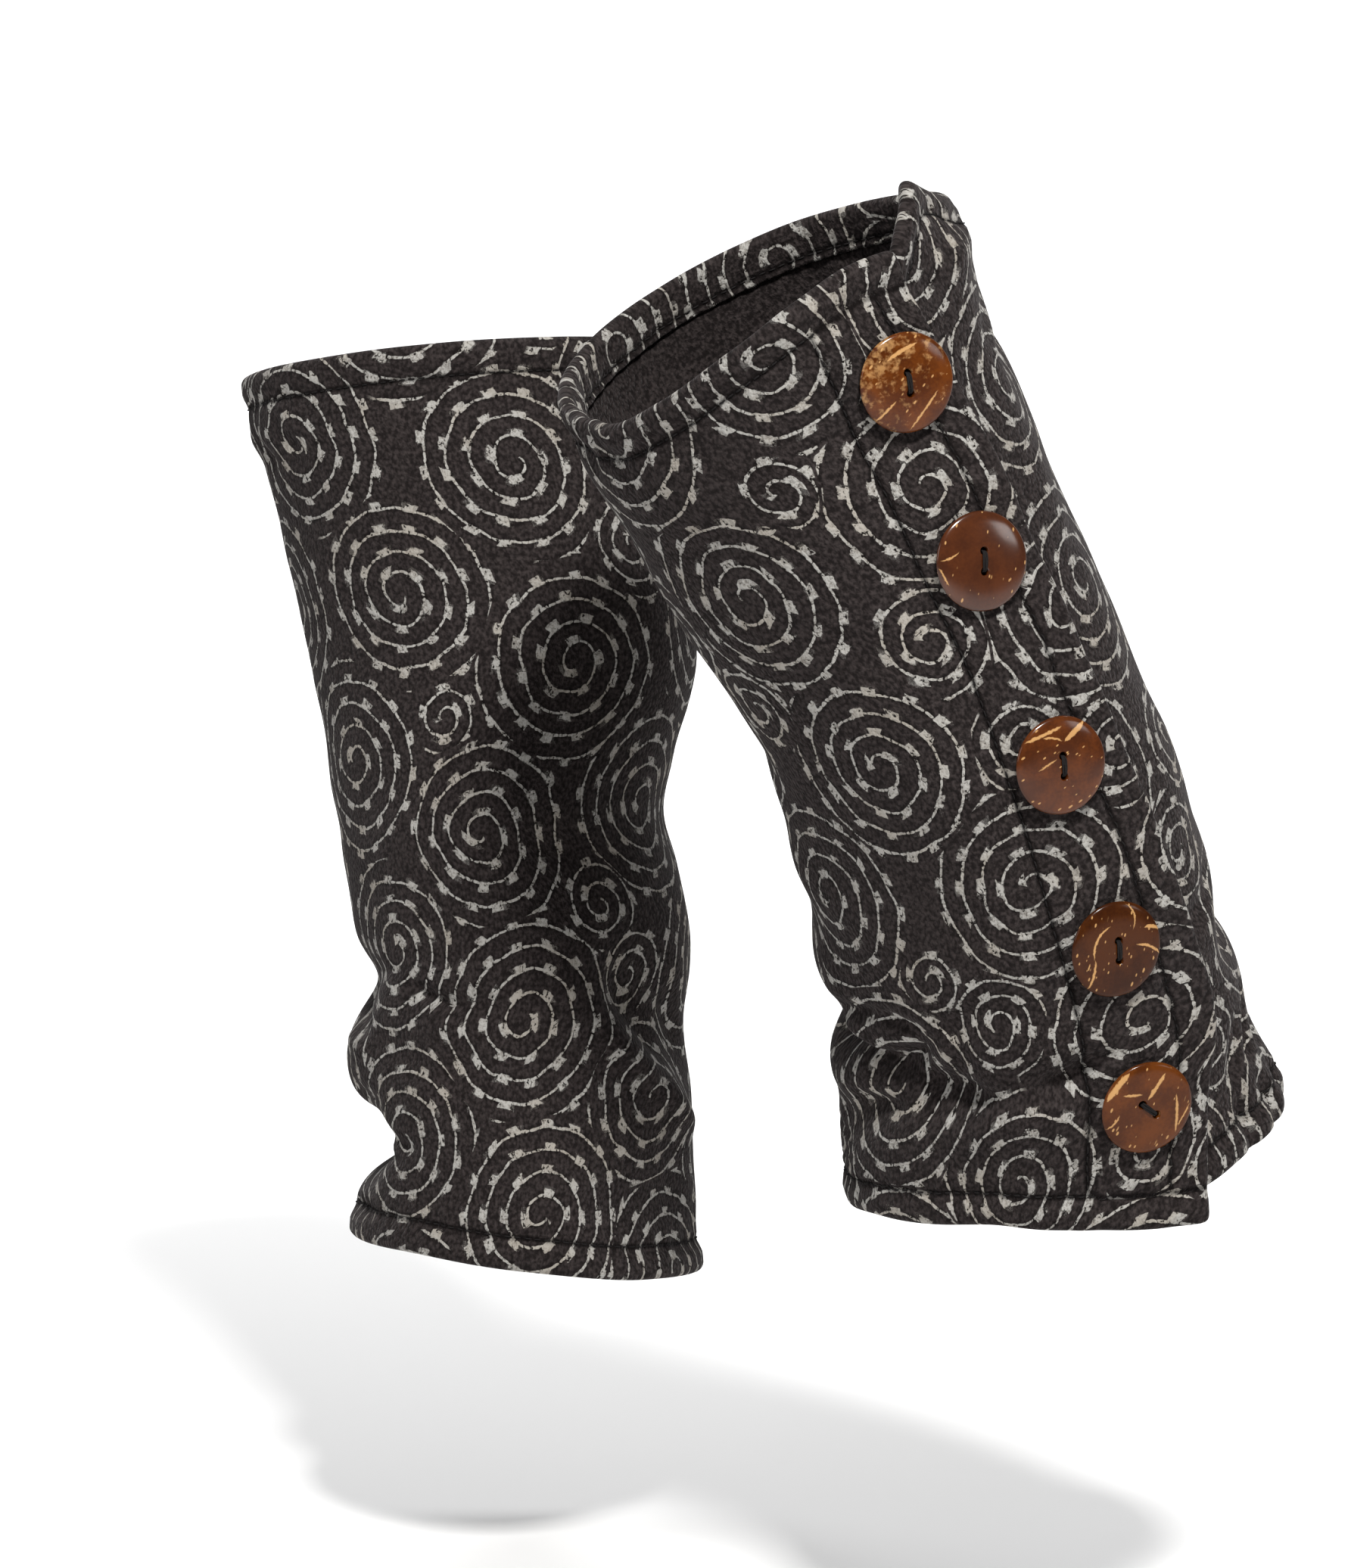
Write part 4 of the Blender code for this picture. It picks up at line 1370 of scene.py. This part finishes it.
@dataclass
class LegWarmer:
    """One worn leg warmer: the strip's body, its turned front edge, its two hems and their stitches."""

    leg: Leg
    fleece: bpy.types.Material
    thread: bpy.types.Material
    tuck: float = 0.0009
    allowance: float = 0.0026
    roll: tuple[float, ...] = (
        0, 0.00015, 0.0005, 0.0010, 0.0016, 0.0024, 0.0034, 0.0046, 0.0058, 0.0070, 0.0082, 0.0092, 0.0100,
    )
    allowance_end: tuple[float, ...] = (-0.0017, -0.00115, -0.00105)
    placket_roll: tuple[float, ...] = (0, 0.0002, 0.0005, 0.0009, 0.0014, 0.0020, 0.0027)
    placket_level: float = 0.0037
    placket_step: float = 0.0012
    stitch_pitch: float = 0.0032
    stitch_length: float = 0.0025
    stitch_half: float = 0.00026
    stitch_taper: tuple[float, ...] = (0.55, 0.95, 1.0, 0.95, 0.55)
    stitch_rise: tuple[float, ...] = (-0.00050, 0.00002, 0.00012, 0.00002, -0.00050)
    groove_half: float = 0.00085
    edge_groove: float = 0.42
    inner_groove: float = 0.00055
    bend: float = 1.15
    reverse_side: float = 0.05
    print_past: Point2 = (-0.016, 0.02)
    flat: Point2 = (0.424, 0.290)

    def __post_init__(self) -> None:
        """Works out the tube's form and the print that covers it."""
        self.form = WornForm(self.leg)
        left, right = sorted(self.run(turn) for turn in (CUT.free_edge, CUT.underlap_end))
        low, high = self.print_past
        self.layout = SpiralLayout(self.leg.print_seed, (left, low), (right, self.leg.length + high))

    def run(self, turn: Number) -> Number:
        """How far along the flat strip a turn lies, as seen from the printed side."""
        return self.leg.side * arc(turn)

    def cloth(
        self,
        kind: str,
        turns: Array,
        heights: Array,
        outs: Array,
        flat: tuple[Array, Array],
        printed: Array | bool = True,
    ) -> bpy.types.Object:
        """Makes a printed piece of cloth from closed loops, with its points as (loop, point).

        Args:
            kind: what it is, for its name.
            turns: each point's turn.
            heights: each point's height.
            outs: how far each point lies out of the cloth's middle.
            flat: the turn and the height of each point before the edges are turned under.
            printed: whether each point lies on the printed side.

        Returns:
            The piece.
        """
        turns, heights, outs, across, up, printed = np.broadcast_arrays(turns, heights, outs, *flat, printed)
        points = self.form.points(turns, heights, outs)
        piece = mesh_object(f"{self.leg.name}_{kind}", points.reshape(-1, 3), strip_faces(*turns.shape))
        places, printed = np.column_stack([self.run(across).ravel(), up.ravel()]), printed.ravel()
        line, edge, foot, top = self.form.seams(turns.ravel(), heights.ravel())
        self.layout.put_on(piece.data, places, printed)
        write_vectors(piece.data, "cloth_place", "POINT", places, np.where(printed, 0.0, self.reverse_side))
        write_vectors(piece.data, "seam_place", "POINT", line, edge, np.minimum(foot, top))
        piece.data.materials.append(self.fleece)
        return piece

    def between_hems(self, turns: Array) -> tuple[Array, Array]:
        """Places from the foot hem's seam to the top hem's, closer together where the folds lie.

        Args:
            turns: the turns at which they stand.

        Returns:
            Their heights, with one row for each turn, and how far in each lies from the nearer end.
        """
        split = FOLDED_SHARE
        fine = round(self.leg.length * split / FINE_STEP)
        coarse = round(self.leg.length * (1 - split) / COARSE_STEP)
        shares = np.append(np.linspace(0, split, fine + 1), np.linspace(split, 1, coarse + 1)[1:])
        low, high = (edge[:, None] for edge in self.form.edges(turns))
        low, high = low + CUT.hem_depth - self.tuck, high - CUT.hem_depth + self.tuck
        heights = low + shares * (high - low)
        return heights, np.minimum(heights - low, high - heights)

    def panel(self) -> bpy.types.Object:
        """The body of the strip, its edges tucked into the seams round it.

        Returns:
            The panel.
        """
        start, end = CUT.placket_line - turned(self.tuck), CUT.underlap_end
        turns = np.linspace(start, end, round(arc(end - start) / CLOTH_STEP))
        heights, inset = self.between_hems(turns)
        turns = np.broadcast_to(turns[:, None], heights.shape)
        inset = np.minimum(inset, np.minimum(arc(turns - start), arc(end - turns)))
        half = CUT.cloth / 2 * (0.45 + 0.55 * ease(inset, 0.0002, 0.0030))
        turns, heights = there_and_back(turns, turns), there_and_back(heights, heights)
        outs = there_and_back(half, -half)
        return self.cloth("fleece_panel", turns, heights, outs, (turns, heights), outs > 0)

    def placket(self) -> bpy.types.Object:
        """The turned front edge, with its fold and the grooves of its two stitch lines.

        Returns:
            The placket.
        """
        width, line = arc(CUT.placket_line - CUT.free_edge), arc(CUT.edge_line - CUT.free_edge)
        level = np.arange(self.placket_level, width, self.placket_step)
        insets = np.concatenate([self.placket_roll, level, [width]])
        full = CUT.placket_half
        groove = 1 - self.edge_groove * nearness(insets - line, 0.0014)
        half = full * rounded(insets, full * self.bend) * groove
        half = half - (full - self.groove_half) * ease(insets, width - 0.0045, width)
        turns = CUT.free_edge + turned(insets)
        heights, inset = (rows.T for rows in self.between_hems(turns))
        half = half * (0.50 + 0.50 * ease(inset, 0.0002, 0.0034))
        turns = np.broadcast_to(turns, heights.shape)
        heights, outs = there_and_back(heights, heights), there_and_back(half, -half)
        flat = there_and_back(turns, 2 * CUT.free_edge - turns), heights
        return self.cloth("fleece_placket", there_and_back(turns, turns), heights, outs, flat)

    def hem(self, where: HemPlace) -> bpy.types.Object:
        """A turned hem: a soft roll at the fold, pinched at its stitches, its allowance lying inside.

        Args:
            where: which hem.

        Returns:
            The hem.
        """
        depth, full, lap = CUT.hem_depth, CUT.hem_half, CUT.hem_depth + self.allowance
        bend = full * self.bend
        outside = np.append(self.roll, depth + 0.0002)
        thick = full * rounded(outside, bend) - (full - self.groove_half) * ease(outside, 0.0052, depth)
        tucked = [depth, depth + 0.0012, lap - 0.0006, lap, lap - 0.0003, depth + 0.0006]
        inside = np.append(self.roll, tucked)
        under = self.inner_groove * nearness(inside - depth, 0.0012) - full * rounded(inside, bend)
        under[-3:] = self.allowance_end
        insets = np.concatenate([outside[::-1], [0.00002], inside])
        outs = np.concatenate([thick[::-1], [under[0] / 2], under])
        unfolded = np.append(outside[::-1], -insets[len(outside) :])
        length = arc(CUT.underlap_end - CUT.free_edge)
        rest = np.linspace(0.0032, length, round(length / CLOTH_STEP))
        run = np.append([0, 0.0003, 0.0008, 0.0014, 0.0022], rest)
        turns = CUT.free_edge + turned(run)
        foot, top = self.form.edges(turns)
        edge, inwards = (top, -1.0) if where is HemPlace.TOP else (foot, 1.0)
        corner = 0.0016 * (1 - rounded(run, 0.0030, 0.0))
        heights = (edge + inwards * corner)[:, None] + inwards * insets
        swell = rounded(run, bend) * (1 + 0.05 * np.cos(run / 0.0041 + 2 * np.sin(run / 0.023)))
        turns, edge = turns[:, None], edge[:, None]
        kind = f"{where.value}_fleece_hem"
        return self.cloth(kind, turns, heights, outs * swell[:, None], (turns, edge + inwards * unfolded))

    def stitch_row(self, turn: Array, height: Array, out: float) -> tuple[Array, Array]:
        """Lays stitches along a seam.

        Args:
            turn: turns of evenly spaced places along the seam, half a stitch pitch apart at most.
            height: their heights.
            out: how far out of the cloth's middle the thread lies; below zero it is on the inside.

        Returns:
            The middle points of each stitch's rings, and the directions across them.
        """
        line = self.form.points(turn, height, out)
        run = np.append(0, np.cumsum(np.linalg.norm(np.diff(line, axis=0), axis=1)))
        starts = np.arange(0.0006, run[-1] - self.stitch_length, self.stitch_pitch)
        places = starts[:, None] + np.linspace(0, self.stitch_length, len(self.stitch_rise))
        turns, heights = np.interp(places, run, turn), np.interp(places, run, height)
        out = out + math.copysign(1.0, out) * np.array(self.stitch_rise)
        centres = self.form.points(turns, heights, out)
        return centres, self.form.points(turns, heights, out + 0.0005) - centres

    def stitches(self) -> bpy.types.Object:
        """All the stitches: along both hems, inside and outside, and down both lines of the placket.

        Returns:
            The stitches, as one piece.
        """
        rows = []
        turns = np.linspace(CUT.free_edge + 1.5, CUT.underlap_end - 0.5, 900)
        foot, top = self.form.edges(turns)
        for line in (foot + CUT.hem_depth, top - CUT.hem_depth):
            for out in (self.groove_half + 0.00006, -CUT.hem_half + 0.00045):
                rows.append(self.stitch_row(turns, line, out))
        outs = self.groove_half + 0.00012, CUT.placket_half * 0.70
        for turn, out in zip((CUT.placket_line, CUT.edge_line), outs):
            foot, top = self.form.edges(turn)
            heights = np.linspace(foot + CUT.hem_depth + 0.001, top - CUT.hem_depth - 0.001, 700)
            rows.append(self.stitch_row(np.full(len(heights), turn), heights, out))
        centres, across = (np.concatenate(part) for part in zip(*rows))
        radii = self.stitch_half * np.array(self.stitch_taper)
        piece = tubes(f"{self.leg.name}_stitches", centres, across, radii)
        piece.data.materials.append(self.thread)
        return piece

    def build(self) -> None:
        """Builds the cloth and its stitches, and puts them in place of their solids."""
        panel, placket = self.panel(), self.placket()
        hems = {where: self.hem(where) for where in HemPlace}
        stitches = self.stitches()
        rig.replaces(panel, f"{self.leg.name}_panel")
        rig.replaces(placket, f"{self.leg.name}_placket")
        for where, hem in hems.items():
            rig.replaces(hem, f"{self.leg.name}_{where.value}_hem")
        for piece in (panel, placket, *hems.values(), stitches):
            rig.ride(piece, "root")
            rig.slot(piece, "fleece")
            LOG.info("%s: %d faces", piece.name, len(piece.data.polygons))
        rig.sheet(panel, flat=self.flat, held="hung", with_pieces=[placket, *hems.values(), stitches])


@dataclass
class ShellButton:
    """A two-hole button of polished coconut shell, domed in front, with its thread."""

    name: str
    form: WornForm
    place: ButtonPlace
    shell: bpy.types.Material
    thread: bpy.types.Material
    offset: float
    radius: float = 0.0140
    thickness: float = 0.0036
    hole_radius: float = 0.00105
    hole_spacing: float = 0.0058
    hole_sides: int = 24
    flare: float = 0.00035
    seat_reach: float = 0.9
    seat_gap: float = 0.0006
    seat_half: float = 0.0023
    seat_places: int = 12
    steps: int = 96
    sharp_angle: float = 34.0
    strand_half: float = 0.00031
    strand_places: tuple[Point2, ...] = ((-0.00042, 0), (0, 0.00018), (0.00042, 0.00002))
    profile: tuple[Point2, ...] = (
        (0, 1), (0.2, 0.996), (0.4, 0.975), (0.58, 0.935), (0.72, 0.88), (0.83, 0.805), (0.9, 0.735),
        (0.945, 0.675), (0.975, 0.605), (0.993, 0.52), (1, 0.43), (0.99, 0.33), (0.96, 0.2), (0.92, 0.07),
        (0.88, 0), (0.5, 0), (0, 0),
    )

    def seat(self) -> Matrix:
        """Where the button lies on the placket: its middle, and its own directions.

        Returns:
            The seat, with its Z axis out of the cloth.
        """
        side, reach = self.form.leg.side, self.radius * self.seat_reach
        height, surface = self.place.height * self.form.leg.length, self.seat_half + self.seat_gap
        middle = self.form.points(self.place.turn, height, surface, worn=False)
        around = np.linspace(0, math.tau, self.seat_places, endpoint=False)
        turns, heights = self.place.turn + turned(reach * np.cos(around)), height + reach * np.sin(around)
        ring = self.form.points(turns, heights, surface, worn=False)
        front, above, back, below = ring[:: self.seat_places // 4]
        up = Vector(above - below).normalized()
        out = up.cross(Vector(front - back)).normalized() * -side
        highest = max(0.0, float(max((ring - middle) @ np.array(out))))
        facing = Matrix((up.cross(out), up, out)).transposed().to_4x4()
        spin = Matrix.Rotation(-side * math.radians(self.place.spin), 4, "Z")
        return Matrix.Translation(Vector(middle) + highest * out) @ facing @ spin

    def disc(self) -> bpy.types.Object:
        """The turned disc with two flared holes.

        Returns:
            The disc, lying flat at the origin.
        """
        points, rings, faces = [], [], []
        for out, up in self.profile:
            count, spot = self.steps if out else 1, Vector((out * self.radius, 0.0, up * self.thickness))
            rings.append(range(len(points), len(points) + count))
            points += [Matrix.Rotation(math.tau * i / self.steps, 3, "Z") @ spot for i in range(count)]
        for upper, lower in zip(rings, rings[1:]):
            for i in range(self.steps):
                k = (i + 1) % self.steps
                corners = ((upper, i), (lower, i), (lower, k), (upper, k))
                faces.append(tuple(dict.fromkeys(ring[at % len(ring)] for ring, at in corners)))
        disc = mesh_object(self.name, points, faces)
        cutters = [self.cutter(sign) for sign in (-1, 1)]
        for cutter in cutters:
            cut = disc.modifiers.new("hole", "BOOLEAN")
            cut.object, cut.operation, cut.solver = cutter, "DIFFERENCE", "EXACT"
        bpy.context.view_layer.update()
        cut_mesh = bpy.data.meshes.new_from_object(disc.evaluated_get(bpy.context.evaluated_depsgraph_get()))
        disc.modifiers.clear()
        disc.data = cut_mesh
        for cutter in cutters:
            bpy.data.objects.remove(cutter)
        cut_mesh.shade_smooth()
        cut_mesh.set_sharp_from_angle(angle=math.radians(self.sharp_angle))
        return disc

    def cutter(self, sign: int) -> bpy.types.Object:
        """A flared pin that cuts one hole.

        Args:
            sign: 1 for the upper hole, -1 for the lower one.

        Returns:
            The pin.
        """
        rows = (
            (self.hole_radius + self.flare + 0.0015, self.thickness + 0.0015),
            (self.hole_radius + self.flare, self.thickness),
            (self.hole_radius + self.flare * 0.35, self.thickness - 0.00018),
            (self.hole_radius, self.thickness - 0.00050),
            (self.hole_radius, -0.001),
        )
        middle = sign * self.hole_spacing / 2
        around = np.linspace(0, math.tau, self.hole_sides, endpoint=False)
        points = [(r * math.cos(a), middle + r * math.sin(a), z) for r, z in rows for a in around]
        return mesh_object("hole_pin", points, tube_faces(len(rows), self.hole_sides))

    def strands(self) -> bpy.types.Object:
        """The sewing thread: strands from hole to hole over the face, and down through both to the cloth.

        Returns:
            The strands, as one piece, lying as the disc does.
        """
        top, half = self.thickness, self.hole_spacing / 2
        rise = np.array(
            [
                (half, -self.seat_gap),
                (half, top * 0.40),
                (half - 0.0001, top * 0.86),
                (half - 0.0007, top + 0.00022),
                (half * 0.35, top + 0.00042),
            ]
        )
        path = np.concatenate([rise, rise[::-1] * (-1, 1)])
        knots = np.linspace(0, len(path) - 1, 37)
        up, out = (np.interp(knots, np.arange(len(path)), column) for column in path.T)
        strands = []
        for number, (side, lift) in enumerate(self.strand_places):
            sway = 0.00012 * np.sin(np.linspace(0, 9, len(knots)) + number * 2.1)
            strands.append(np.column_stack([side + sway, up * (1 - 0.02 * number), out + lift]))
        centres = np.array(strands)
        across = np.broadcast_to(np.array([1.0, 0.0, 0.0]), centres.shape)
        return tubes(f"{self.name}_thread", centres, across, np.full(len(knots), self.strand_half), 8)

    def build(self) -> None:
        """Makes the button, lays it on its seat and puts it in place of its solid."""
        disc, strands = self.disc(), self.strands()
        points = np.array([vertex.co for vertex in disc.data.vertices])
        write_vectors(disc.data, "face_place", "POINT", points + np.array([0.0, 0.0, self.offset]))
        seat = self.seat()
        for piece, finish in ((disc, self.shell), (strands, self.thread)):
            piece.data.transform(seat)
            piece.data.materials.clear()
            piece.data.materials.append(finish)
            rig.ride(piece, "root")
            LOG.info("%s: %d faces", piece.name, len(piece.data.polygons))
        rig.slot(disc, "shell_buttons")
        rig.slot(strands, "fleece")
        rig.replaces(disc, self.name.replace("_shell", ""))


@dataclass(frozen=True)
class SoftBox:
    """A soft light: where it hangs, its width and height, its watts, its colour and what it is aimed at."""

    name: str
    spot: Point
    size: Point2
    power: float
    colour: Colour = (1.0, 1.0, 1.0)
    target: Point = (0.0, 0.0, 0.0)

    def build(self) -> None:
        """Hangs the light."""
        data = bpy.data.lights.new(self.name, "AREA")
        data.shape, data.size, data.size_y = "RECTANGLE", *self.size
        data.energy, data.color = self.power, self.colour
        aim = Vector(self.target) - Vector(self.spot)
        turn = aim.to_track_quat("-Z", "Y").to_matrix().to_4x4()
        in_scene(self.name, data).matrix_world = Matrix.Translation(self.spot) @ turn


@dataclass
class Studio:
    """The floor, the lights and the camera."""

    target: Point = (-0.0035, 0.0, -0.0062)
    distance: float = 1.700
    elevation: float = 9.0
    focal_pixels: float = 7311.0
    image_width: float = 1785.0
    sensor_width: float = 36.0
    floor_height: float = -0.265
    floor_reach: float = 9.0
    sweep_start: float = 4.2
    sweep_bend: float = 1.6
    sweep_top: float = 7.0
    background: float = 0.14
    boxes: tuple[SoftBox, ...] = table(
        SoftBox,
        ("key", (0.28, -1.27, 1.48), (0.30, 0.22), 52.0, (1.0, 0.99, 0.97)),
        ("right", (1.64, -0.86, 0.48), (0.46, 0.40), 3.2, (1.0, 0.99, 0.98)),
        ("left", (-1.50, -0.95, 0.55), (0.55, 0.80), 5.0, (0.97, 0.98, 1.0)),
        ("floor", (0.0, 1.2, 1.9), (2.0, 1.0), 76.0, (1.0, 1.0, 1.0), (0.0, 2.6, -0.2)),
        ("sweep", (0.0, 3.6, 2.6), (3.0, 1.0), 95.0, (1.0, 1.0, 1.0), (0.0, 5.2, 0.0)),
    )

    def floor(self) -> None:
        """Lays the floor and its sweep up behind the pair."""
        start, bend, half = self.sweep_start, self.sweep_bend, self.floor_reach
        rows = [(-half, 0.0), (start, 0.0)]
        for turn in np.linspace(0.1, math.pi / 2, 14):
            rows.append((start + bend * math.sin(turn), bend - bend * math.cos(turn)))
        rows.append((start + bend, self.sweep_top))
        points = [(x, y, self.floor_height + z) for y, z in rows for x in (-half, half)]
        faces = [(2 * i, 2 * i + 1, 2 * i + 3, 2 * i + 2) for i in range(len(rows) - 1)]
        floor = mesh_object("studio_floor", points, faces)
        floor.data.materials.append(PaleFloor().material())
        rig.stage(floor)

    def camera(self) -> None:
        """Sets the camera at the photograph's viewing angle."""
        data = bpy.data.cameras.new("camera")
        data.sensor_fit, data.sensor_width = "HORIZONTAL", self.sensor_width
        data.lens = self.focal_pixels * self.sensor_width / self.image_width
        camera = in_scene("camera", data)
        lift = math.radians(self.elevation)
        away = Vector((0.0, -math.cos(lift), math.sin(lift))) * self.distance
        camera.location = Vector(self.target) + away
        camera.rotation_euler = (math.pi / 2 - lift, 0.0, 0.0)
        bpy.context.scene.camera = camera

    def build(self) -> None:
        """Sets up the studio."""
        self.floor()
        for box in self.boxes:
            box.build()
        world = bpy.data.worlds.new("studio")
        world.use_nodes = True
        sky = world.node_tree.nodes["Background"].inputs
        sky["Color"].default_value, sky["Strength"].default_value = (1.0, 1.0, 1.0, 1.0), self.background
        bpy.context.scene.world = world
        bpy.context.scene.view_settings.view_transform = "Standard"
        self.camera()


def main() -> None:
    """Builds the studio and both leg warmers."""
    logging.basicConfig(level=logging.INFO, format="%(message)s")
    Studio().build()
    fleece, thread = PrintedFleece().material(), Thread().material()
    shells = [shell.material() for shell in SHELLS]
    for leg in (LEFT, RIGHT):
        warmer = LegWarmer(leg, fleece, thread)
        LOG.info("%s print: %d spirals", leg.name, len(warmer.layout.circles))
        warmer.build()
        for number, (place, shell) in enumerate(zip(BUTTON_PLACES, shells), start=1):
            name = f"{leg.name}_shell_button_{number}"
            ShellButton(name, warmer.form, place, shell, thread, 0.1 * number + 0.7 * (leg.side + 1)).build()
    sizes = {"cad": [list(corner) for corner in CAD_BOX], "visual": [list(corner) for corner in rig.bounds()]}
    with open("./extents.json", "w") as file:
        json.dump(sizes, file)


if __name__ == "__main__":
    main()
